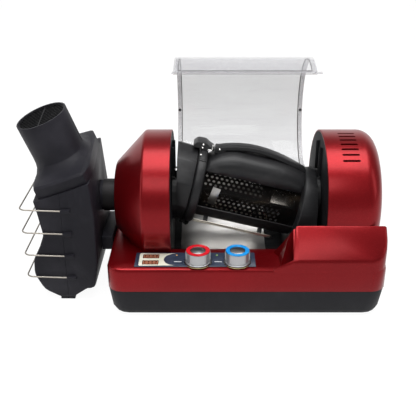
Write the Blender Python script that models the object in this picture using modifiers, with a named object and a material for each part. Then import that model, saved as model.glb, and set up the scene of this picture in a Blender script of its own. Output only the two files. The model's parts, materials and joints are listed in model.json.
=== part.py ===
"""Home coffee bean roaster: a tilted glass drum turns between two round housings on a low base.

The frame has X to the right, Y to the back and Z up. Its origin is on the table, under the middle of
the base. The drum's turning axis runs along X, through AXIS_Y and AXIS_Z. The clear lid stands open.
"""

import math

import bmesh
import bpy
from mathutils import Matrix, Vector

MM = 0.001
DEGREE = math.pi / 180

# Fits shared by every piece
FIT = 0.3 * MM
RUNNING_GAP = 0.5 * MM
OVERRUN = 6 * MM
MERGE = 0.005 * MM

# How finely rounds are divided
LARGE_ROUND = 32
ROUND = 24
SMALL_ROUND = 14
TINY_ROUND = 8

# Turning axis of the drum
AXIS_Y = 15 * MM
AXIS_Z = 132.7 * MM

# Base
BASE_WIDTH = 386 * MM
BASE_DEPTH = 228 * MM
FOOT_HEIGHT = 2.5 * MM
FOOT_RADIUS = 9 * MM
FOOT_INSET = 32 * MM
FOOT_RECESS = 0.9 * MM
TRAY_HEIGHT = 41.3 * MM
TRAY_TAPER = 5 * MM
TRAY_CORNER = 24 * MM
TRAY_BOTTOM_EDGE = 9 * MM
CASING_HEIGHT = 35.4 * MM
CASING_CORNER = 22 * MM
CASING_EDGE = 6 * MM
CASING_WALL = 2.4 * MM
TRAY_TOP = FOOT_HEIGHT + TRAY_HEIGHT
CASING_BOTTOM = TRAY_TOP + FIT
DECK_Z = CASING_BOTTOM + CASING_HEIGHT

# Housings at the two ends of the drum
BAND_RADIUS = 96.4 * MM
HOUSING_WALL = 2.4 * MM
LEFT_RIM_X = -105.4 * MM
LEFT_BAND_WIDTH = 38.6 * MM
LEFT_CONE_LENGTH = 43 * MM
LEFT_END_RADIUS = 50 * MM
LEFT_SHOULDER = 8 * MM
RIGHT_RIM_X = 109.2 * MM
RIGHT_LENGTH = 77.8 * MM
RIGHT_SHOULDER = 24 * MM
RIM_FILLET = 1 * MM
LEFT_END_X = LEFT_RIM_X - LEFT_BAND_WIDTH - LEFT_CONE_LENGTH
RIGHT_END_X = RIGHT_RIM_X + RIGHT_LENGTH

# Vent slots in the right housing
SLOT_COUNT = 7
SLOT_X = 143 * MM
SLOT_LENGTH = 24 * MM
SLOT_WIDTH = 3.2 * MM
SLOT_FIRST_ANGLE = 91.4 * DEGREE
SLOT_STEP_ANGLE = 6 * DEGREE

# Sloped hood in front of the right housing
HOOD_FRONT_Z = 91 * MM
HOOD_TOP_Z = 131 * MM
HOOD_TOP_Y = -80 * MM
HOOD_BACK_Y = -52 * MM
HOOD_LEFT_FOOT_X = 50 * MM
HOOD_LEFT_TOP_X = 66 * MM
HOOD_RIGHT_INSET = 1.5 * MM
HOOD_SINK = 12 * MM
HOOD_EDGE = 4 * MM

# Bay between the housings
REFLECTOR_RADIUS = 88.2 * MM
REFLECTOR_THICKNESS = 1.2 * MM
REFLECTOR_LEFT_X = -95 * MM
REFLECTOR_LENGTH = 130 * MM
REFLECTOR_START = 229 * DEGREE
REFLECTOR_END = 346 * DEGREE
LINER_THICKNESS = 2 * MM
LINER_START = 219.5 * DEGREE
LINER_END = 358 * DEGREE
LINER_INNER = REFLECTOR_RADIUS + REFLECTOR_THICKNESS + FIT
LINER_OUTER = LINER_INNER + LINER_THICKNESS
REAR_COVER_THICKNESS = 2.5 * MM
REAR_COVER_TOP = 130 * MM
LOUVRE_COUNT = 5
LOUVRE_LENGTH = 120 * MM
LOUVRE_WIDTH = 3 * MM
LOUVRE_PITCH = 8 * MM

# Inner plates, bearings and carriers
PLATE_THICKNESS = 2.2 * MM
PLATE_RADIUS = BAND_RADIUS - HOUSING_WALL - FIT
BEARING_OUTER = 25 * MM
BEARING_FLANGE = 29 * MM
BEARING_FLANGE_THICKNESS = 2 * MM
BEARING_LENGTH = 12 * MM
SHAFT_OUTER = 19 * MM
SHAFT_BORE = 15 * MM
CARRIER_RADIUS = 36 * MM
CARRIER_WEB = 2 * MM
CARRIER_SLOT_DEPTH = 5.6 * MM
TRUNNION_WIDTH = 26 * MM
TRUNNION_BORE = 9 * MM
LEFT_SHAFT_LENGTH = 19 * MM
RIGHT_SHAFT_LENGTH = 22 * MM

# Drive
GEAR_MODULE = 1.8 * MM
GEAR_TEETH = 36
PINION_TEETH = 12
PRESSURE_ANGLE = 20 * DEGREE
ADDENDUM_SHARE = 0.85
DEDENDUM_SHARE = 1.2
BACKLASH = 0.5 * MM
GEAR_WIDTH = 6 * MM
PINION_WIDTH = 8 * MM
PINION_ANGLE = -52 * DEGREE
MOTOR_RADIUS = 14 * MM
MOTOR_LENGTH = 17 * MM
MOTOR_SHAFT_RADIUS = 2.5 * MM

# Air path
AIR_TUBE_OUTER = 24 * MM
AIR_TUBE_WALL = 1.5 * MM
HEATER_LENGTH = 16 * MM
HEATER_RADIUS = 20 * MM
HEATER_CARD = 1.2 * MM
HEATER_TURNS = 3
HEATER_WIRE = 1.4 * MM
FAN_SHROUD_RADIUS = 46 * MM
FAN_SHROUD_LENGTH = 16 * MM
FAN_CONE_LENGTH = 10 * MM
FAN_HUB_RADIUS = 12 * MM
FAN_BLADES = 9
FAN_BLADE_THICKNESS = 1.4 * MM
FAN_BLADE_PITCH = 32 * DEGREE
FAN_LENGTH = 11 * MM
FAN_MOTOR_RADIUS = 13 * MM

# Roasting chamber, measured along its own tilted axis
CHAMBER_X = 2 * MM
CHAMBER_TILT = 14 * DEGREE
LEFT_FACE_GAP = 8 * MM
GLASS_RADIUS = 41 * MM
GLASS_WALL = 2 * MM
GLASS_LEFT_U = -70 * MM
GLASS_RIGHT_U = 74 * MM
SADDLE_THICKNESS = 3 * MM
SADDLE_HALF_ANGLE = 40 * DEGREE
RAIL_ANGLE = 122 * DEGREE
RAIL_HALF_ANGLE = 8 * DEGREE
COLLAR_RADIUS = 53 * MM
COLLAR_WIDTH = 13 * MM
CAP_RADIUS = 55 * MM
CAP_LEFT_RADIUS = 52 * MM
CAP_SIDES = 10
CAP_LENGTH = 46 * MM
CAP_WALL = 3 * MM
END_COLLAR_RADIUS = 49 * MM
END_COLLAR_WALL = 3 * MM
END_COLLAR_LENGTH = 42 * MM
HANDLE_DROP = 21 * MM
HANDLE_WIDTH = 19 * MM
HANDLE_THICKNESS = 8 * MM
HANDLE_STATIONS = 9
LATCH_LENGTH = 22 * MM
LATCH_WIDTH = 16 * MM
LATCH_THICKNESS = 6 * MM
BAFFLE_THICKNESS = 0.8 * MM
BAFFLE_FOLD = 14 * MM
BAFFLE_TOP_ANGLE = 55 * DEGREE
BAFFLE_HOLE = 3.4 * MM
BAFFLE_ROWS = 2
BAFFLE_COLUMNS = 7

# Lid
LID_INNER = 91.5 * MM
LID_THICKNESS = 2.5 * MM
LID_LEFT_X = -102.6 * MM
LID_LENGTH = 204 * MM
LID_START = 5 * DEGREE
LID_END = 196 * DEGREE
LID_OPEN_ANGLE = 81.5 * DEGREE
LID_FRAME_WIDTH = 6 * MM
LID_FRAME_DEPTH = 2.4 * MM
LID_RAIL_WIDTH = 4 * MM
LID_RAIL_THICKNESS = 4.4 * MM
LID_PIN_RADIUS = 1.6 * MM
LID_PIN_ORBIT = 88.5 * MM
LID_EAR_RADIUS = 5 * MM
STUB_SHARE = 0.5
LID_EAR_SHARE = 0.3
BUMPER_RADIUS = 2.2 * MM
BUMPER_HEIGHT = 1.2 * MM
BUMPER_ANGLE = 150 * DEGREE

# Control strip and knobs
PANEL_LEFT_X = -154 * MM
PANEL_LENGTH = 166 * MM
PANEL_FRONT_Y = -107.7 * MM
PANEL_WIDTH = 38.6 * MM
PANEL_THICKNESS = 0.9 * MM
WINDOW_LEFT_X = -148 * MM
WINDOW_LENGTH = 25 * MM
WINDOW_INSET = 4.2 * MM
KNOB_Y = -95.3 * MM
TEMPERATURE_KNOB_X = -67 * MM
TIME_KNOB_X = -13 * MM
KNOB_RADIUS = 17 * MM
KNOB_SKIRT_RADIUS = 18.6 * MM
KNOB_SKIRT_HEIGHT = 1.6 * MM
KNOB_HEIGHT = 16 * MM
KNOB_TRAVEL = 1.2 * MM
KNOB_REST_GAP = 1.8 * MM
KNOB_BORE_DEPTH = 11 * MM
RING_OUTER = 16.2 * MM
RING_INNER = 10.8 * MM
RING_THICKNESS = 0.8 * MM
RING_SINK = 0.5 * MM
CAP_DOME_RISE = 1.6 * MM
DOME_STEPS = 3
SPINDLE_RADIUS = 3 * MM
SPINDLE_HOLE_RADIUS = 4.5 * MM
ENCODER_SIZE = 13 * MM
ENCODER_HEIGHT = 7 * MM
ENCODER_FLOOR = 2 * MM
BOARD_THICKNESS = 1.6 * MM
BOARD_DROP = 14 * MM

# Chaff collector at the left
COLLECTOR_RIGHT_X = -210 * MM
COLLECTOR_SEAM_X = -256 * MM
COLLECTOR_FRONT_Y = -68 * MM
COLLECTOR_DEPTH = 142 * MM
COLLECTOR_WALL = 2.4 * MM
COLLECTOR_EDGE = 4 * MM
COLLECTOR_TOP_X = -262.5 * MM
COLLECTOR_TOP_Z = 195.4 * MM
COLLECTOR_ROLL = 7 * DEGREE
COLLECTOR_SLOPE = 19 * DEGREE
CLID_LEFT = 38.5 * MM
CLID_RIGHT = 38.5 * MM
CLID_SKIRT = 17 * MM
CLID_WALL = 2.4 * MM
CLID_EDGE = 6 * MM
PIPE_RADIUS = 36.8 * MM
PIPE_HEIGHT = 70 * MM
PIPE_OFFSET = 1 * MM
GRILLE_BARS = 6
GRILLE_BAR_WIDTH = 2 * MM
GRILLE_THICKNESS = 2.5 * MM
GRILLE_DEPTH = 5 * MM
WIRE_RADIUS = 1.1 * MM
WIRE_REACH_X = -313 * MM
WIRE_BEND = 9 * MM
WIRE_CLIP_X = COLLECTOR_SEAM_X
WIRE_STAND = 2.6 * MM
WIRE_RISE = 9.5 * MM
WIRE_FIRST_Z = 145.5 * MM
WIRE_LAST_Z = 40 * MM
WIRE_COUNT = 4
CLIP_LENGTH = 13 * MM
CLIP_HEIGHT = 5 * MM
SPIGOT_LENGTH = 15 * MM
SPIGOT_SHOULDER = 3 * MM
SPIGOT_WALL = 1.6 * MM
BRACKET_BACK_Y = 62 * MM
BRACKET_FRONT_Y = -26 * MM
BRACKET_Z = 62 * MM
BRACKET_HEIGHT = 21 * MM

PARTS_NAME = "coffee_roaster"
CUTTERS_NAME = "cutters"


def clear_scene():
    """Remove every object, so that the model starts from an empty scene."""
    for item in list(bpy.data.objects):
        bpy.data.objects.remove(item, do_unlink=True)


def collection(name, hidden=False):
    """Return a scene collection of this name."""
    group = bpy.data.collections.new(name)
    bpy.context.scene.collection.children.link(group)
    group.hide_render = hidden
    return group


clear_scene()
PARTS = collection(PARTS_NAME)
CUTTERS = collection(CUTTERS_NAME, hidden=True)


class Finish:
    """A plain surface: its colour, roughness and metallic value."""

    def __init__(self, colour, roughness, metallic=0.0):
        self.colour = colour
        self.roughness = roughness
        self.metallic = metallic

    def material(self, name):
        """Build a material of this finish."""
        made = bpy.data.materials.new(name)
        made.use_nodes = True
        shader = made.node_tree.nodes["Principled BSDF"]
        shader.inputs["Base Color"].default_value = (*self.colour, 1.0)
        shader.inputs["Roughness"].default_value = self.roughness
        shader.inputs["Metallic"].default_value = self.metallic
        return made


RED_PAINT = Finish((0.36, 0.008, 0.014), 0.3, 0.7)
DARK_PLASTIC = Finish((0.035, 0.035, 0.04), 0.5)
BLACK_PLASTIC = Finish((0.018, 0.018, 0.02), 0.45)
BLACK_SATIN = Finish((0.012, 0.012, 0.014), 0.35)
RUBBER = Finish((0.01, 0.01, 0.01), 0.9)
STEEL = Finish((0.62, 0.61, 0.6), 0.25, 1.0)
POLISHED = Finish((0.8, 0.79, 0.77), 0.1, 1.0)
BRASS = Finish((0.62, 0.42, 0.16), 0.35, 1.0)
GLASS = Finish((0.55, 0.5, 0.45), 0.05)
CLEAR = Finish((0.86, 0.86, 0.88), 0.1)
PANEL_BLUE = Finish((0.02, 0.03, 0.05), 0.35)
CREAM = Finish((0.7, 0.68, 0.55), 0.4)
RING_RED = Finish((0.6, 0.02, 0.03), 0.35)
RING_BLUE = Finish((0.02, 0.28, 0.62), 0.35)
BOARD_GREEN = Finish((0.02, 0.16, 0.06), 0.5)
CERAMIC = Finish((0.75, 0.72, 0.66), 0.8)


def adopt(name, mesh, finish=None, parent=None, cutter=False):
    """Make an object of a mesh, in the parts' or the cutters' collection."""
    item = bpy.data.objects.new(name, mesh)
    if cutter:
        CUTTERS.objects.link(item)
        item.hide_render = True
        item.display_type = "WIRE"
    else:
        PARTS.objects.link(item)
        if finish:
            mesh.materials.append(finish.material(name))
    if parent:
        item.parent = parent
    return item


def empty(name, location, rotation=(0, 0, 0), parent=None):
    """An empty that carries a moving group, on its joint's axis."""
    item = bpy.data.objects.new(name, None)
    PARTS.objects.link(item)
    item.location = location
    item.rotation_euler = rotation
    item.parent = parent
    return item


def from_bmesh(name, shape, finish=None, parent=None, cutter=False, smooth=True):
    """Turn a bmesh into an object, shaded smooth but for its sharp edges."""
    bmesh.ops.recalc_face_normals(shape, faces=shape.faces)
    mesh = bpy.data.meshes.new(name)
    shape.to_mesh(mesh)
    shape.free()
    if smooth:
        mesh.shade_smooth()
        mesh.set_sharp_from_angle(angle=35 * DEGREE)
    return adopt(name, mesh, finish, parent, cutter)


def cut(item, *cutters, how="DIFFERENCE"):
    """Cut, join or intersect an object with others."""
    for other in cutters:
        step = item.modifiers.new(how.title() + " " + other.name, "BOOLEAN")
        step.operation = how
        step.solver = "EXACT"
        step.object = other
    return item


def bevelled(item, width, segments=3, angle=40 * DEGREE):
    """Round an object's sharper edges."""
    step = item.modifiers.new("Rounded edges", "BEVEL")
    step.width = width
    step.segments = segments
    step.limit_method = "ANGLE"
    step.angle_limit = angle
    step.use_clamp_overlap = True
    return item


def block(name, low, high, **kind):
    """A box between two opposite corners."""
    shape = bmesh.new()
    bmesh.ops.create_cube(shape, size=1.0)
    for vertex in shape.verts:
        for axis in range(3):
            share = vertex.co[axis] + 0.5
            vertex.co[axis] = low[axis] + share * (high[axis] - low[axis])
    return from_bmesh(name, shape, smooth=False, **kind)


def rounded_block(name, low, high, corner, top_edge=0, bottom_edge=0, taper=0, segments=4, **kind):
    """A box with rounded upright corners, rounded rims and walls that lean in towards the bottom."""
    shape = bmesh.new()
    bmesh.ops.create_cube(shape, size=1.0)
    middle = [(a + b) / 2 for a, b in zip(low, high)]
    for vertex in shape.verts:
        bottom = vertex.co.z < 0
        for axis in range(3):
            reach = (high[axis] - low[axis]) / 2
            if bottom and axis < 2:
                reach -= taper
            vertex.co[axis] = middle[axis] + math.copysign(reach, vertex.co[axis])
    upright = [e for e in shape.edges if abs(e.verts[0].co.z - e.verts[1].co.z) > MERGE]
    bmesh.ops.bevel(shape, geom=upright, offset=corner, segments=segments, affect="EDGES", profile=0.5)
    for level, width in ((high[2], top_edge), (low[2], bottom_edge)):
        if width:
            rim = [e for e in shape.edges if all(abs(v.co.z - level) < MERGE for v in e.verts)]
            rim = [e for e in rim if len(e.link_faces) == 2]
            bmesh.ops.bevel(shape, geom=rim, offset=width, segments=2, affect="EDGES", profile=0.5)
    return from_bmesh(name, shape, **kind)


def filleted(points, segments=4):
    """Round the corners of a closed outline. Each point is (x, y) or (x, y, radius)."""
    outline = []
    count = len(points)
    for index, point in enumerate(points):
        here = Vector(point[:2])
        radius = point[2] if len(point) > 2 else 0
        if not radius:
            outline.append(here)
            continue
        back = Vector(points[index - 1][:2]) - here
        ahead = Vector(points[(index + 1) % count][:2]) - here
        half = back.angle(ahead) / 2
        reach = min(radius / math.tan(half), back.length * 0.49, ahead.length * 0.49)
        radius = reach * math.tan(half)
        centre = here + (back.normalized() + ahead.normalized()).normalized() * (radius / math.sin(half))
        start = here + back.normalized() * reach - centre
        end = here + ahead.normalized() * reach - centre
        turn = start.angle_signed(end)
        for step in range(segments + 1):
            angle = -turn * step / segments
            outline.append(centre + Matrix.Rotation(angle, 2) @ start)
    return outline


def arc(radius, start, end, steps, centre=(0, 0)):
    """Points along an arc, in the order of its angles."""
    points = []
    for step in range(steps + 1):
        angle = start + (end - start) * step / steps
        points.append((centre[0] + radius * math.cos(angle), centre[1] + radius * math.sin(angle)))
    return points


def ring_section(inner, outer, start, end, steps, centre=(0, 0)):
    """The closed outline of a curved strip."""
    return arc(outer, start, end, steps, centre) + arc(inner, end, start, steps, centre)


def plate(name, outline, low, high, plane="YZ", **kind):
    """A flat outline given its thickness along the axis that the plane leaves out."""
    curve = bpy.data.curves.new(name, "CURVE")
    curve.dimensions = "2D"
    curve.fill_mode = "BOTH"
    curve.extrude = (high - low) / 2
    spline = curve.splines.new("POLY")
    spline.points.add(len(outline) - 1)
    for point, place in zip(spline.points, outline):
        point.co = (place[0], place[1], 0, 1)
    spline.use_cyclic_u = True
    guide = bpy.data.objects.new(name + "_outline", curve)
    bpy.context.scene.collection.objects.link(guide)
    bpy.context.view_layer.update()
    mesh = bpy.data.meshes.new_from_object(guide.evaluated_get(bpy.context.evaluated_depsgraph_get()))
    bpy.data.objects.remove(guide, do_unlink=True)
    shape = bmesh.new()
    shape.from_mesh(mesh)
    bpy.data.meshes.remove(mesh)
    bmesh.ops.remove_doubles(shape, verts=shape.verts, dist=MERGE)
    middle = (low + high) / 2
    turns = {
        "YZ": Matrix(((0, 0, 1, middle), (1, 0, 0, 0), (0, 1, 0, 0), (0, 0, 0, 1))),
        "XZ": Matrix(((1, 0, 0, 0), (0, 0, -1, middle), (0, 1, 0, 0), (0, 0, 0, 1))),
        "XY": Matrix(((1, 0, 0, 0), (0, 1, 0, 0), (0, 0, 1, middle), (0, 0, 0, 1))),
    }
    shape.transform(turns[plane])
    return from_bmesh(name, shape, **kind)


def turned(name, profile, axis="X", centre=(0, 0, 0), steps=ROUND, **kind):
    """A turned piece. The profile lists (radius, height) along the axis, and may close on the axis."""
    area = 0
    for here, ahead in zip(profile, profile[1:] + profile[:1]):
        area += here[0] * ahead[1] - ahead[0] * here[1]
    if area > 0:
        profile = list(reversed(profile))
    closed = all(point[0] > 0 for point in profile)
    if not closed:
        first = next(i for i, p in enumerate(profile) if p[0] == 0 and profile[i - 1][0] == 0)
        profile = profile[first:] + profile[:first]
    mesh = bpy.data.meshes.new(name)
    points = [(radius, 0, height) for radius, height in profile]
    edges = [(i, i + 1) for i in range(len(points) - 1)]
    if closed:
        edges.append((len(points) - 1, 0))
    mesh.from_pydata(points, edges, [])
    item = adopt(name, mesh, **kind)
    step = item.modifiers.new("Turned", "SCREW")
    step.axis = "Z"
    step.steps = steps
    step.render_steps = steps
    step.use_merge_vertices = True
    step.merge_threshold = MERGE
    step.use_smooth_shade = True
    item.location = centre
    if axis == "X":
        item.rotation_euler = (0, 90 * DEGREE, 0)
    elif axis == "Y":
        item.rotation_euler = (-90 * DEGREE, 0, 0)
    return item


def tube_profile(inner, outer, low, high):
    """The profile of a plain tube."""
    return [(outer, high), (outer, low), (inner, low), (inner, high)]


def rod_profile(radius, low, high):
    """The profile of a solid rod."""
    return [(0, high), (radius, high), (radius, low), (0, low)]


def wire(name, points, radius, finish, parent=None):
    """A round wire along a path."""
    curve = bpy.data.curves.new(name, "CURVE")
    curve.dimensions = "3D"
    curve.bevel_depth = radius
    curve.bevel_resolution = 2
    curve.use_fill_caps = True
    spline = curve.splines.new("POLY")
    spline.points.add(len(points) - 1)
    for point, place in zip(spline.points, points):
        point.co = (*place, 1)
    curve.materials.append(finish.material(name))
    item = bpy.data.objects.new(name, curve)
    PARTS.objects.link(item)
    item.parent = parent
    return item


def loft(name, sections, **kind):
    """Join sections of equal point counts, and close the first and the last."""
    shape = bmesh.new()
    rings = [[shape.verts.new(point) for point in section] for section in sections]
    for here, ahead in zip(rings, rings[1:]):
        for index in range(len(here)):
            after = (index + 1) % len(here)
            shape.faces.new((here[index], here[after], ahead[after], ahead[index]))
    shape.faces.new(reversed(rings[0]))
    shape.faces.new(rings[-1])
    return from_bmesh(name, shape, **kind)


AXIS = (0, AXIS_Y, AXIS_Z)
HALF_WIDTH = BASE_WIDTH / 2
HALF_DEPTH = BASE_DEPTH / 2
BAY_LEFT_X = LEFT_RIM_X + FIT
BAY_RIGHT_X = RIGHT_RIM_X - FIT
HOUSING_FLOOR = DECK_Z + FIT
PANEL_Z = DECK_Z + FIT
BOARD_TOP = DECK_Z - CASING_WALL - BOARD_DROP
GLASS_INNER = GLASS_RADIUS - GLASS_WALL


def place_on_axis(radius, angle, x=0):
    """A point at this distance and angle round the drum's turning axis."""
    return (x, AXIS_Y + radius * math.cos(angle), AXIS_Z + radius * math.sin(angle))


def round_cutter(name, radius, low, high, start=0, end=2 * math.pi, steps=LARGE_ROUND):
    """A cutter along the drum's axis: a full round, or the part of one between two angles."""
    points = arc(radius, start, end, steps, (AXIS_Y, AXIS_Z))
    if end - start >= 2 * math.pi:
        points.pop()
    return plate(name, points, low, high, cutter=True, smooth=False)


# Base

BOARD_LENGTH = 152 * MM
BOARD_DEPTH = 30 * MM
BOARD_LEFT_X = -148 * MM
BOARD_FRONT_Y = -108 * MM
BOSS_RADIUS = 3 * MM
BOSS_INSET = 6 * MM
POWER_BOARD_LOW_X = 40 * MM
POWER_BOARD_LENGTH = 90 * MM
POWER_BOARD_FRONT_Y = -96 * MM
POWER_BOARD_DEPTH = 56 * MM
POWER_BOARD_RAISE = 5 * MM
TRANSFORMER_SIZE = 24 * MM
CAPACITOR_RADIUS = 5 * MM
CAPACITOR_HEIGHT = 15 * MM
INLET_X = 150 * MM
INLET_WIDTH = 28 * MM
INLET_HEIGHT = 20 * MM
INLET_DEPTH = 18 * MM
INLET_Z = 23 * MM
INLET_WALL = 2.5 * MM
INLET_PROUD = 1 * MM
INLET_PIN_WIDTH = 2 * MM
INLET_PIN_HEIGHT = 6 * MM
INLET_PIN_PITCH = 7 * MM
INLET_PIN_SET_BACK = 3 * MM


def build_tray():
    """The dark lower tray, with its board posts and the opening for the mains inlet."""
    low = (-HALF_WIDTH, -HALF_DEPTH, FOOT_HEIGHT)
    high = (HALF_WIDTH, HALF_DEPTH, TRAY_TOP)
    tray = rounded_block("base_tray", low, high, TRAY_CORNER, bottom_edge=TRAY_BOTTOM_EDGE,
                         taper=TRAY_TAPER, finish=DARK_PLASTIC)
    wall = CASING_WALL
    hollow = rounded_block("tray_hollow", (low[0] + wall, low[1] + wall, low[2] + wall),
                           (high[0] - wall, high[1] - wall, high[2] + OVERRUN), TRAY_CORNER - wall,
                           bottom_edge=TRAY_BOTTOM_EDGE - wall, taper=TRAY_TAPER, cutter=True)
    cut(tray, hollow)
    for x in (POWER_BOARD_LOW_X + BOSS_INSET, POWER_BOARD_LOW_X + POWER_BOARD_LENGTH - BOSS_INSET):
        for y in (POWER_BOARD_FRONT_Y + BOSS_INSET, POWER_BOARD_FRONT_Y + POWER_BOARD_DEPTH - BOSS_INSET):
            boss = turned("tray_boss", rod_profile(BOSS_RADIUS, -wall / 2, POWER_BOARD_RAISE), axis="Z",
                          centre=(x, y, FOOT_HEIGHT + wall), steps=TINY_ROUND, cutter=True)
            cut(tray, boss, how="UNION")
    half = INLET_WIDTH / 2 + FIT
    opening = block("inlet_opening", (INLET_X - half, HALF_DEPTH - INLET_DEPTH, INLET_Z - INLET_HEIGHT / 2 - FIT),
                    (INLET_X + half, HALF_DEPTH + OVERRUN, INLET_Z + INLET_HEIGHT / 2 + FIT), cutter=True)
    cut(tray, opening)
    for side_x, across in ((-1, "left"), (1, "right")):
        for side_y, along in ((-1, "front"), (1, "rear")):
            place = (side_x * (HALF_WIDTH - FOOT_INSET), side_y * (HALF_DEPTH - FOOT_INSET), 0)
            top = FOOT_HEIGHT + FOOT_RECESS
            recess = turned("foot_recess", rod_profile(FOOT_RADIUS + RUNNING_GAP, 0, top), axis="Z", centre=place,
                            steps=TINY_ROUND, cutter=True)
            cut(tray, recess)
            turned("foot_" + along + "_" + across, rod_profile(FOOT_RADIUS, 0, top - FIT), axis="Z", centre=place,
                   steps=TINY_ROUND, finish=RUBBER)


def build_inlet():
    """The mains socket in the back of the tray."""
    half_x = INLET_WIDTH / 2
    half_z = INLET_HEIGHT / 2
    back = HALF_DEPTH + INLET_PROUD
    front = HALF_DEPTH - INLET_DEPTH + FIT
    inlet = block("power_inlet", (INLET_X - half_x, front, INLET_Z - half_z),
                  (INLET_X + half_x, back, INLET_Z + half_z), finish=BLACK_PLASTIC)
    recess = block("inlet_recess", (INLET_X - half_x + INLET_WALL, front + INLET_WALL, INLET_Z - half_z + INLET_WALL),
                   (INLET_X + half_x - INLET_WALL, back + OVERRUN, INLET_Z + half_z - INLET_WALL), cutter=True)
    cut(inlet, recess)
    for step in (-1, 0, 1):
        x = INLET_X + step * INLET_PIN_PITCH
        pin = block("inlet_pin", (x - INLET_PIN_WIDTH / 2, front + INLET_WALL / 2, INLET_Z - INLET_PIN_HEIGHT / 2),
                    (x + INLET_PIN_WIDTH / 2, back - INLET_PIN_SET_BACK, INLET_Z + INLET_PIN_HEIGHT / 2), cutter=True)
        cut(inlet, pin, how="UNION")


def build_hood():
    """The sloped hood, cut round to fit the right housing that stands behind it."""
    rise = (HOOD_TOP_Z - HOOD_FRONT_Z) / (HOOD_TOP_Y + HALF_DEPTH)
    bottom = DECK_Z - HOOD_SINK
    front = -HALF_DEPTH - OVERRUN
    lean = (HOOD_LEFT_TOP_X - HOOD_LEFT_FOOT_X) * HOOD_SINK / (HOOD_FRONT_Z - DECK_Z)
    right = HALF_WIDTH + OVERRUN
    profile = (
        (front, bottom, HOOD_LEFT_FOOT_X - lean),
        (front, HOOD_FRONT_Z - rise * OVERRUN, HOOD_LEFT_TOP_X),
        (HOOD_TOP_Y, HOOD_TOP_Z, HOOD_LEFT_TOP_X),
        (HOOD_BACK_Y, HOOD_TOP_Z, HOOD_LEFT_TOP_X),
        (HOOD_BACK_Y, bottom, HOOD_LEFT_FOOT_X - lean),
    )
    left_side = [(x, y, z) for y, z, x in profile]
    right_side = [(right, y, z) for y, z, x in profile]
    hood = loft("hood", (left_side, right_side), smooth=False, cutter=True)
    low = (-HALF_WIDTH, -HALF_DEPTH, bottom - OVERRUN)
    high = (HALF_WIDTH - HOOD_RIGHT_INSET, HALF_DEPTH, HOOD_TOP_Z + OVERRUN)
    plan = rounded_block("hood_plan", low, high, CASING_CORNER, cutter=True)
    cut(hood, plan, how="INTERSECT")
    bevelled(hood, HOOD_EDGE, segments=2)
    behind = round_cutter("hood_back", BAND_RADIUS + FIT, HOOD_LEFT_FOOT_X - OVERRUN - HOOD_SINK, right)
    cut(hood, behind)
    return hood


def build_casing():
    """The red upper casing: a flat deck at the left, the hood at the right and the bay's opening."""
    low = (-HALF_WIDTH, -HALF_DEPTH, CASING_BOTTOM)
    high = (HALF_WIDTH, HALF_DEPTH, DECK_Z)
    casing = rounded_block("upper_casing", low, high, CASING_CORNER, top_edge=CASING_EDGE, finish=RED_PAINT)
    wall = CASING_WALL
    hollow = rounded_block("casing_hollow", (low[0] + wall, low[1] + wall, low[2] - OVERRUN),
                           (high[0] - wall, high[1] - wall, high[2] - wall), CASING_CORNER - wall,
                           top_edge=CASING_EDGE - wall, cutter=True)
    cut(casing, hollow)
    cut(casing, build_hood(), how="UNION")
    cut(casing, round_cutter("bay_front", LINER_INNER, BAY_LEFT_X, BAY_RIGHT_X))
    cut(casing, round_cutter("bay_back", LINER_OUTER + FIT, BAY_LEFT_X, BAY_RIGHT_X, -math.pi / 2, math.pi / 2))
    for name, inner_x, outer_x in (("left", BAY_LEFT_X, LEFT_RIM_X - PLATE_THICKNESS - FIT),
                                   ("right", BAY_RIGHT_X, RIGHT_RIM_X + PLATE_THICKNESS + FIT)):
        cut(casing, round_cutter("plate_slot_" + name, PLATE_RADIUS + FIT, min(inner_x, outer_x), max(inner_x, outer_x)))
    for x in (TEMPERATURE_KNOB_X, TIME_KNOB_X):
        hole = turned("spindle_hole", rod_profile(SPINDLE_HOLE_RADIUS, -OVERRUN, OVERRUN), axis="Z",
                      centre=(x, KNOB_Y, DECK_Z), steps=SMALL_ROUND, cutter=True)
        cut(casing, hole)
    for x in (BOARD_LEFT_X + BOSS_INSET, BOARD_LEFT_X + BOARD_LENGTH - BOSS_INSET):
        for y in (BOARD_FRONT_Y + BOSS_INSET, BOARD_FRONT_Y + BOARD_DEPTH - BOSS_INSET):
            boss = turned("deck_boss", rod_profile(BOSS_RADIUS, FIT, BOARD_DROP + wall / 2), axis="Z",
                          centre=(x, y, BOARD_TOP), steps=TINY_ROUND, cutter=True)
            cut(casing, boss, how="UNION")
    return casing


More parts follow.
